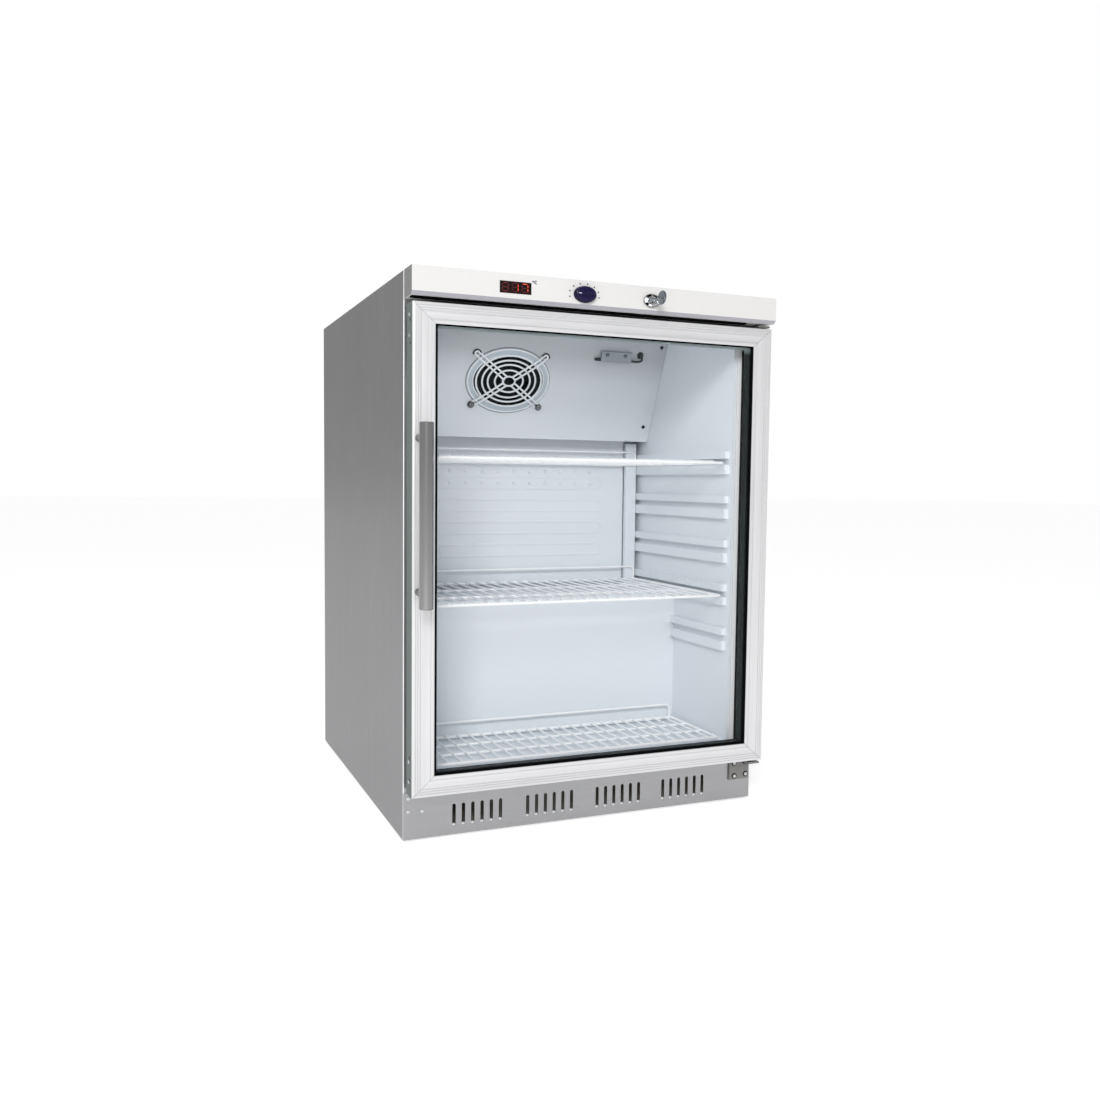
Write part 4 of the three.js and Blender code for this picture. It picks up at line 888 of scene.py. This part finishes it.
def add_knob():
    box = Box("thermostat_knob")
    x, z = box.centre.x, box.centre.z
    fascia = Box("control_fascia").y0
    a, b = 18.2, 12.3
    build = Build()
    back = fascia - 0.6 * MM
    profile = [(0.96, 0.0), (1.0, 0.6), (1.0, 2.0), (0.965, 2.8), (0.94, 3.1), (0.91, 6.2),
               (0.87, 7.6), (0.78, 8.4), (0.55, 8.8), (0.02, 8.9)]
    build.lathe(mm(profile), (x, back, z), -Y, 48, (a, b))
    ridge = rounded(-a + 4.0, -2.3, a - 5.0, 2.3, 2.0)
    build.prism(mm(ridge), (x, back - 10.8 * MM, z), X, Z, Y * 3.6 * MM, 0.9 * MM)
    for t in turns(40):
        spot = Vector((x + 0.95 * a * MM * cos(t), back - 3.2 * MM,
                       z + 0.95 * b * MM * sin(t)))
        build.tube([spot, spot - Y * 2.8 * MM], 0.42 * MM, 5)
    build.piece("thermostat_knob_grip", "navy_plastic", "knob", slot="navy_plastic",
                replaces=["thermostat_knob"])
    mark = Build()
    line = rounded(-0.5, -0.5, 0.5, 0.5, 0.4, 2)
    mark.prism([(-(a - 6.5) * MM + u * 5.5 * MM, v * 1.1 * MM) for u, v in line],
               (x, back - 10.92 * MM, z), X, Z, Y * 0.3 * MM)
    mark.piece("knob_pointer", "pale_ink", "knob", slot="white_plastic")

    ticks = Build()
    for i in range(8):
        t = radians(194.5 - 29.14 * i)
        spot = (x + 24.6 * MM * cos(t), fascia - 0.12 * MM, z + 16.4 * MM * sin(t))
        ticks.lathe(mm([(1.2, 0), (1.2, 0.14), (0.05, 0.14)]), spot, Y, 12)
    ticks.piece("dial_marks", "mark_ink", slot="navy_plastic")


def add_lock():
    flange = Box("lock_body")
    x, z = flange.centre.x, flange.centre.z
    front = flange.y0
    a, b = 14.7, 10.4
    profile = [(0.56, 2.0), (0.56, 3.9), (0.6, 4.15), (0.66, 3.7), (0.72, 3.0), (0.86, 2.9),
               (0.95, 2.3), (1.0, 1.2), (1.0, 0.1)]
    build = Build()
    back = front + 3.0 * MM
    rings = [[Vector((x, back - h * MM, z)) + X * a * r * MM * cos(t)
              + Z * b * r * MM * sin(t) for t in turns(40)] for r, h in profile]
    build.rings(rings, closed=True)
    build.piece("lock_escutcheon", "chrome", slot="chrome")
    # The bright and dark facets on the escutcheon are painted reflections.
    bright, dark = Build(), Build()
    for facets, first, last, inner, outer in (
            (bright, 155, 205, 0.62, 0.9), (bright, 235, 262, 0.62, 0.86),
            (bright, -25, 25, 0.62, 0.9),
            (dark, 207, 233, 0.64, 0.98), (dark, 40, 85, 0.66, 0.84), (dark, 100, 140, 0.7, 0.97)):
        sweep = [radians(first + (last - first) * i / 8) for i in range(9)]
        edge = [(a * outer * cos(t), b * outer * sin(t)) for t in sweep]
        edge += [(a * inner * cos(t), b * inner * sin(t)) for t in reversed(sweep)]
        facets.prism(mm(edge), (x, back - 4.0 * MM, z), X, Z,
                     Y * 1.4 * MM, 0.2 * MM)
    bright.piece("lock_painted_highlights", "edge_white", slot="chrome")
    dark.piece("lock_painted_dark_reflections", "gasket_black", slot="chrome")

    key = Box("key")
    bow_y, half = key.y0 + 12 * MM, 10.3 * MM
    build = Build()
    outer = [(12 * MM * cos(t), half * sin(t)) for t in turns(36)]
    hole = [(-6 * MM + 3.0 * MM * cos(t), 3.8 * MM * sin(t)) for t in turns(36)]
    thick = 1.5 * MM
    skin = []
    for shape, scale, level in ((hole, 1.0, -1), (outer, 0.93, -1), (outer, 1.0, -0.5),
                                (outer, 1.0, 0.5), (outer, 0.93, 1), (hole, 1.0, 1)):
        skin.append([Vector((x + level * thick, bow_y + p * scale, z + q * scale))
                     for p, q in shape])
    build.rings(skin, closed=True)
    teeth = [(8, -2.6), (17, -2.6), (18, -1.4), (19.5, -2.6), (21.5, -2.6), (23, -1.0),
             (24.5, -2.2), (27, -2.2), (28.5, -0.9), (30, -2.4), (33, -2.4), (35, -1.4),
             (37, -2.5), (41, -2.5), (43, -1.0), (45, -2.2), (48, -2.2), (52, 0.0),
             (49, 2.8), (8, 2.8)]
    build.prism(mm(teeth), (x - 0.95 * MM, bow_y, z), Y, Z, X * 1.9 * MM)
    collar = rounded(9.0, -4.4, 13.5, 4.4, 1.2, 3)
    build.prism(mm(collar), (x - 1.6 * MM, bow_y, z), Y, Z, X * 3.2 * MM,
                0.3 * MM)
    build.piece("key_bow_and_blade", "key_steel", "key", slot="chrome", replaces=["key"])


# ---------------- door

def swept_frame(build, profile, x0, z0, x1, z1):
    """Sweeps (inset, y) points in millimetres round a rectangle, mitred at its corners."""
    corners = ((x0, z0, 1, 1), (x1, z0, -1, 1), (x1, z1, -1, -1), (x0, z1, 1, -1))
    rings = [[Vector((x + sx * u * MM, FRONT + y * MM, z + sz * u * MM)) for u, y in profile]
             for x, z, sx, sz in corners]
    build.rings(rings, closed=True)


def add_gasket():
    box = Box("door_gasket")
    profile = [(1.3, -10.4), (1.3, -8.6), (3.2, -7.8), (1.0, -6.6), (0.2, -5.0), (0.9, -3.7),
               (0.0, -2.6), (0.0, -0.8), (0.6, -0.3), (15.4, -0.3), (16.0, -0.8), (16.0, -2.8),
               (14.4, -4.0), (15.8, -5.4), (15.2, -7.2), (13.8, -8.2), (14.6, -9.2), (14.6, -10.4)]
    build = Build()
    swept_frame(build, profile, box.x0, box.z0, box.x1, box.z1)
    build.piece("magnetic_gasket", "gasket_black", "door", slot="black_rubber",
                replaces=["door_gasket"])


def frame_profile(width, outer, pocket=None):
    """Section of a frame member: (distance from the outer edge, distance behind the face). pocket
    is the depth of the lock cam's pocket in the outer edge, for a member that has one."""
    points = [(outer, 28.0)]
    if pocket is not None:
        points += [(outer, 26.4), (outer + pocket, 26.3), (outer + pocket, 18.1), (outer, 18.0)]
    points += [(outer, 1.6), (outer + 0.5, 0.5), (outer + 1.6, 0.0)]
    for groove in (5.0, 8.6, 12.2, width - 6.0):
        points += [(groove - 0.8, 0.0), (groove - 0.5, 0.9), (groove + 0.1, 0.9),
                   (groove + 0.8, 0.0)]
    points += [(width - 1.4, 0.0), (width - 0.4, 0.4), (width, 1.4), (width, 3.0),
               (width - 8.0, 3.0), (width - 8.0, 30.0), (outer + 2.0, 30.0)]
    return points


def add_door_frame():
    left, right = Box("door_frame_left"), Box("door_frame_right")
    top, bottom = Box("door_frame_top"), Box("door_frame_bottom")
    x0, x1, z0, z1 = left.x0, right.x1, left.z0, left.z1
    face = left.y0
    stile, low, high = left.size.x / MM, bottom.size.z / MM, top.size.z / MM
    members = (
        ("left", (x0, z0), X, Z, z1 - z0, stile, low, high, "aluminium_z"),
        ("right", (x1, z1), -X, -Z, z1 - z0, stile, high, low, "aluminium_z"),
        ("top", (x0, z1), -Z, X, x1 - x0, high, stile, stile, "aluminium_x"),
        ("bottom", (x1, z0), Z, -X, x1 - x0, low, stile, stile, "aluminium_x"),
    )
    for name, (cx, cz), inward, along, length, width, before, after, finish in members:
        section = frame_profile(width, 0.05, 0.0 if name == "top" else None)
        stations = [(section, lambda u: u * before / width * MM + 0.25 * MM)]
        if name == "top":
            for offset, pocket in ((-9.2, 0.0), (-9.1, 5.0), (22.1, 5.0), (22.2, 0.0)):
                run = Box("lock_body").centre.x + offset * MM - x0
                stations.append((frame_profile(width, 0.05, pocket), lambda u, run=run: run))
        stations.append((section, lambda u: length - u * after / width * MM - 0.25 * MM))
        rings = [[Vector((cx, face + depth * MM, cz)) + inward * u * MM + along * run(u)
                  for u, depth in points] for points, run in stations]
        Build().rings(rings).piece("frame_member_" + name, finish, "door", slot="aluminium",
                                   smooth=25, replaces=["door_frame_" + name])


def add_door_trim():
    """Screws in the door's side, and the end plugs of the handle."""
    build = Build()
    left = Box("door_frame_left")
    for z in (773.9, 744.5, 128.0, 98.2):
        screw(build, (left.x0 - 0.3 * MM, FRONT - 25.0 * MM, z * MM), -X, 2.8, 0.9)
    build.piece("door_side_screws", "zinc_screw", "door", slot="handle_steel")

    bar = Box("handle_bar")
    r = bar.size.x / 2 - 0.05 * MM
    profile = [(r * 0.55, 0.35 * MM), (r * 0.62, 0.0), (r * 0.9, 0.0), (r, 1.0 * MM),
               (r, bar.size.z - 1.0 * MM), (r * 0.9, bar.size.z), (r * 0.62, bar.size.z),
               (r * 0.55, bar.size.z - 0.35 * MM)]
    Build().lathe(profile, (bar.centre.x, bar.centre.y, bar.z0), Z, 48).piece(
        "handle_tube", "handle_steel", "door", slot="handle_steel", replaces=["handle_bar"])
    grub = Build()
    for z in (bar.z0 + 20.5 * MM, bar.z1 - 20.5 * MM):
        grub.lathe(mm([(2.0, 0), (2.0, 0.5), (1.2, 0.5), (1.2, 0.1), (0.1, 0.1)]),
                   (bar.x1 - 0.6 * MM, bar.centre.y, z), X, 14)
    for post in ("handle_post_lower", "handle_post_upper"):
        where = Box(post)
        r = where.size.x / 2
        Build().lathe([(r, 0.0), (r, where.size.y - 4 * MM), (r * 1.12, where.size.y - 3.4 * MM),
                       (r * 1.12, where.size.y)], (where.centre.x, where.y0, where.centre.z), Y,
                      24).piece(post + "_turned", "post_steel", "door", slot="handle_steel",
                                replaces=[post])
    grub.piece("handle_grub_screws", "dark_screw", "door", slot="handle_steel")


def add_door_edges():
    """The dark side strip of the door, and the black bead that holds the front pane."""
    left, right = Box("door_frame_left"), Box("door_frame_right")
    top, bottom = Box("door_frame_top"), Box("door_frame_bottom")
    strips = Build()
    for x0, x1 in ((left.x0 - 0.45 * MM, left.x0 - 0.02 * MM),
                   (right.x1 + 0.02 * MM, right.x1 + 0.45 * MM)):
        strips.box((x0, left.y0 + 2.2 * MM, left.z0 + 0.5 * MM),
                   (x1, left.y1 - 0.5 * MM, left.z1 - 0.5 * MM), 0.1 * MM)
    strips.piece("door_side_strips", "side_teal", "door", slot="aluminium")
    bead = Build()
    swept_frame(bead, [(0.05, -39.6), (2.6, -39.6), (3.5, -38.8), (3.5, -36.3), (0.05, -36.3)],
                left.x1, bottom.z1, right.x0, top.z0 + 1.9 * MM)
    screws = Build()
    for z in (bottom.z0 + 25 * MM, bottom.z0 + 58 * MM, top.z1 - 58 * MM, top.z1 - 25 * MM):
        for x, out in ((left.x0, -X), (right.x1, X)):
            screw(screws, (x + out.x * 0.4 * MM, (left.y0 + 11.7 * MM), z), out, 2.5, 0.5)
    screws.piece("door_side_screws", "dark_screw", "door", slot="steel")
    bead.piece("front_glazing_bead", "gasket_black", "door", slot="black_rubber")


def add_cabinet_edges():
    """Painted highlights along the folded front edges of the side panels, and white breaker strips.
    """
    low, high = side_left.z0 + 0.2 * MM, side_left.z1 - 0.2 * MM
    # White tubes along the panels' front edges: a painted highlight of the fold.
    beads = Build()
    for side in (-1, 1):
        x = side * (abs(side_left.x0) - 0.85 * MM)
        beads.tube([(x, FRONT - 0.1 * MM, low), (x, FRONT - 0.1 * MM, high)], 0.8 * MM, 10)
    beads.piece("panel_edge_highlights", "edge_white", slot="side_steel")

    gasket = Box("door_gasket")
    strips = Build()
    for side in (-1, 1):
        x0, x1 = sorted((side * 263.4 * MM, side * 270.5 * MM))
        strips.box((x0, FRONT - 1.2 * MM, gasket.z0 + 18 * MM),
                   (x1, FRONT - 0.05 * MM, gasket.z1 - 18 * MM), 0.3 * MM)
    strips.piece("breaker_strips", "edge_white", slot="liner")


# ---------------- base and hinge screws

HINGE_NOTCH = 255 * MM


def add_front_screws():
    build = Build()
    panel = Box("base_panel")
    for x, z in ((-296.4, 65.4), (-296.3, 45.6), (-274.8, 44.6)):
        screw(build, (x * MM, panel.y0, z * MM), -Y, 2.7, 1.0)
    plate_y = FRONT - 4.8 * MM
    dark = Build()
    for x, z in ((271.2, 65.0), (292.5, 66.0), (271.8, 42.5), (294.0, 44.5)):
        screw(build, (x * MM, plate_y, z * MM), -Y, 3.0, 2.2)
        dark.lathe(mm([(4.9, -0.2), (4.9, 0.5), (2.9, 0.9), (2.9, -0.2)]),
                   (x * MM, plate_y, z * MM), -Y, 20)
    build.piece("front_screws", "zinc_screw", slot="steel")
    dark.piece("hinge_screw_rims", "dark_screw", slot="steel")
    # A black strip under the fascia: painted shadow in the gap above the door.
    shadow = Box("control_fascia")
    strip = Build()
    strip.box((shadow.x0 + 2.5 * MM, FRONT - 36 * MM, shadow.z0 - 2.6 * MM),
              (HINGE_NOTCH, FRONT - 26 * MM, shadow.z0 - 0.05 * MM), 0.6 * MM)
    strip.piece("fascia_gap_shadow_strip", "gasket_black", slot="black_rubber")


# ---------------- refrigerating machine

def add_condenser():
    box = Box("condenser")
    y, runs, pitch, tube = FRONT + 592 * MM, 10, 46 * MM, 3 * MM
    bottom = 322 * MM
    bend = pitch / 2
    straight = 232 * MM - bend
    path = []
    for run in range(runs):
        z = bottom + run * pitch
        side = 1 if run % 2 == 0 else -1
        path += [(-side * straight, z), (side * straight, z)]
        if run < runs - 1:
            path += [(side * (straight + bend * sin(t)), z + bend * (1 - cos(t)))
                     for t in (pi * i / 10 for i in range(1, 10))]
    build = Build()
    build.tube([(x, y, z) for x, z in path], tube, 12)
    top = bottom + (runs - 1) * pitch
    wires = 19
    for i in range(wires):
        x = (i - (wires - 1) / 2) * (2 * straight / (wires - 0.5))
        for side in (-1, 1):
            build.tube([(x, y + side * (tube + 0.5 * MM), bottom - 14 * MM),
                        (x, y + side * (tube + 0.5 * MM), top + 14 * MM)], 0.8 * MM, 6)
    for side in (-1, 1):
        for z in (bottom + pitch, top - pitch):
            x = side * 120 * MM
            back_y = FRONT + 563.2 * MM
            build.box((x - 8 * MM, back_y, z - 6 * MM),
                      (x + 8 * MM, y + tube, z - 4.5 * MM), 0.2 * MM)
            build.box((x - 8 * MM, back_y, z - 10 * MM),
                      (x + 8 * MM, back_y + 1.5 * MM, z + 10 * MM), 0.2 * MM)
    build.piece("condenser_coil", "black_enamel", slot="black_enamel",
                replaces=["condenser"])


def add_machine():
    x, y, plate = -95.0, 470.0, 33.5
    shell = Build()
    profile = [(50, 1.5), (64, 3.5), (70, 12), (73, 30), (74, 58), (78, 60.5), (78.5, 62),
               (78.5, 66), (78, 67.5), (74, 69.5), (73, 95), (70, 116), (63, 134), (50, 147),
               (30, 156), (8, 159.5), (1, 160)]
    shell.lathe(mm(profile), cab(x, y, plate), Z, 64)
    outline = rounded(-100, -62, 100, 62, 14)
    shell.prism(mm(outline), cab(x, y, plate), X, Y, Z * 3 * MM, 0.5 * MM)
    lid = rounded(-30, 30, 30, 92, 7)
    shell.prism(mm(lid), cab(x + 60, y, plate), Y, Z, X * 36 * MM, 3 * MM)
    for sx in (-1, 1):
        for sy in (-1, 1):
            shell.lathe(mm([(11, 0), (11, 5), (7.5, 6.5), (7.5, 8.5), (10, 10), (10, 17.5),
                            (5.5, 18), (5.5, 22), (1, 22.5)]),
                        cab(x + sx * 82, y + sy * 48, 19.5), Z, 24)
    shell.piece("compressor_shell", "black_enamel", slot="black_enamel",
                replaces=["compressor"])

    copper = {
        "discharge_line": (3.0, [(-45, 532, 83.5), (-39, 550, 83.5), (15, 570, 95.5),
                                 (105, 582, 163.5), (165, 592, 233.5), (216, 592, 282),
                                 (220, 592, 318.7)]),
        "suction_line": (4.0, [(-145, 408, 83.5), (-151, 380, 87.5), (-185, 330, 123.5),
                               (-215, 310, 193.5), (-219, 275, 235.5), (-219, 237.4, 235.5)]),
    }
    for node, (r, points) in copper.items():
        Build().tube(spline([cab(*p) for p in points], 8), r * MM, 12).piece(
            node + "_tube", "copper", slot="copper", replaces=[node])
    drier = Box("filter_drier")
    profile = [(1.5, 0), (3, 0.5), (3, 8), (5, 11), (10, 17), (11, 21), (11, 95), (10, 99),
               (5, 105), (3, 108), (3, 117), (1.5, 118)]
    Build().lathe(mm(profile), (drier.centre.x, drier.centre.y, drier.z0),
                  Z, 32).piece("filter_drier_body", "copper", slot="copper",
                               replaces=["filter_drier"])


def add_back_screws():
    build = Build()
    panel = Box("back_panel")
    for x in (-290, -145, 0, 145, 290):
        for z in (panel.z0 + 12 * MM, panel.z1 - 12 * MM):
            screw(build, (x * MM * 0.98, panel.y1, z), Y, 3.6, 1.6)
    for z in (470 * MM, 620 * MM):
        for x in (-284, 284):
            screw(build, (x * MM, panel.y1, z), Y, 3.6, 1.6)
    build.piece("back_screws", "zinc_screw", slot="galvanised")


add_camera()
add_studio()
finish_cad_nodes()
for shelf in ("shelf_top", "shelf_middle", "shelf_bottom"):
    add_shelf(shelf)
add_fan_guard()
add_fan_rotor()
add_cover_screws()
add_probe()
add_evaporator_plate()
add_display()
add_knob()
add_lock()
add_gasket()
add_door_frame()
add_door_trim()
add_door_edges()
add_cabinet_edges()
add_front_screws()
add_condenser()
add_machine()
add_back_screws()
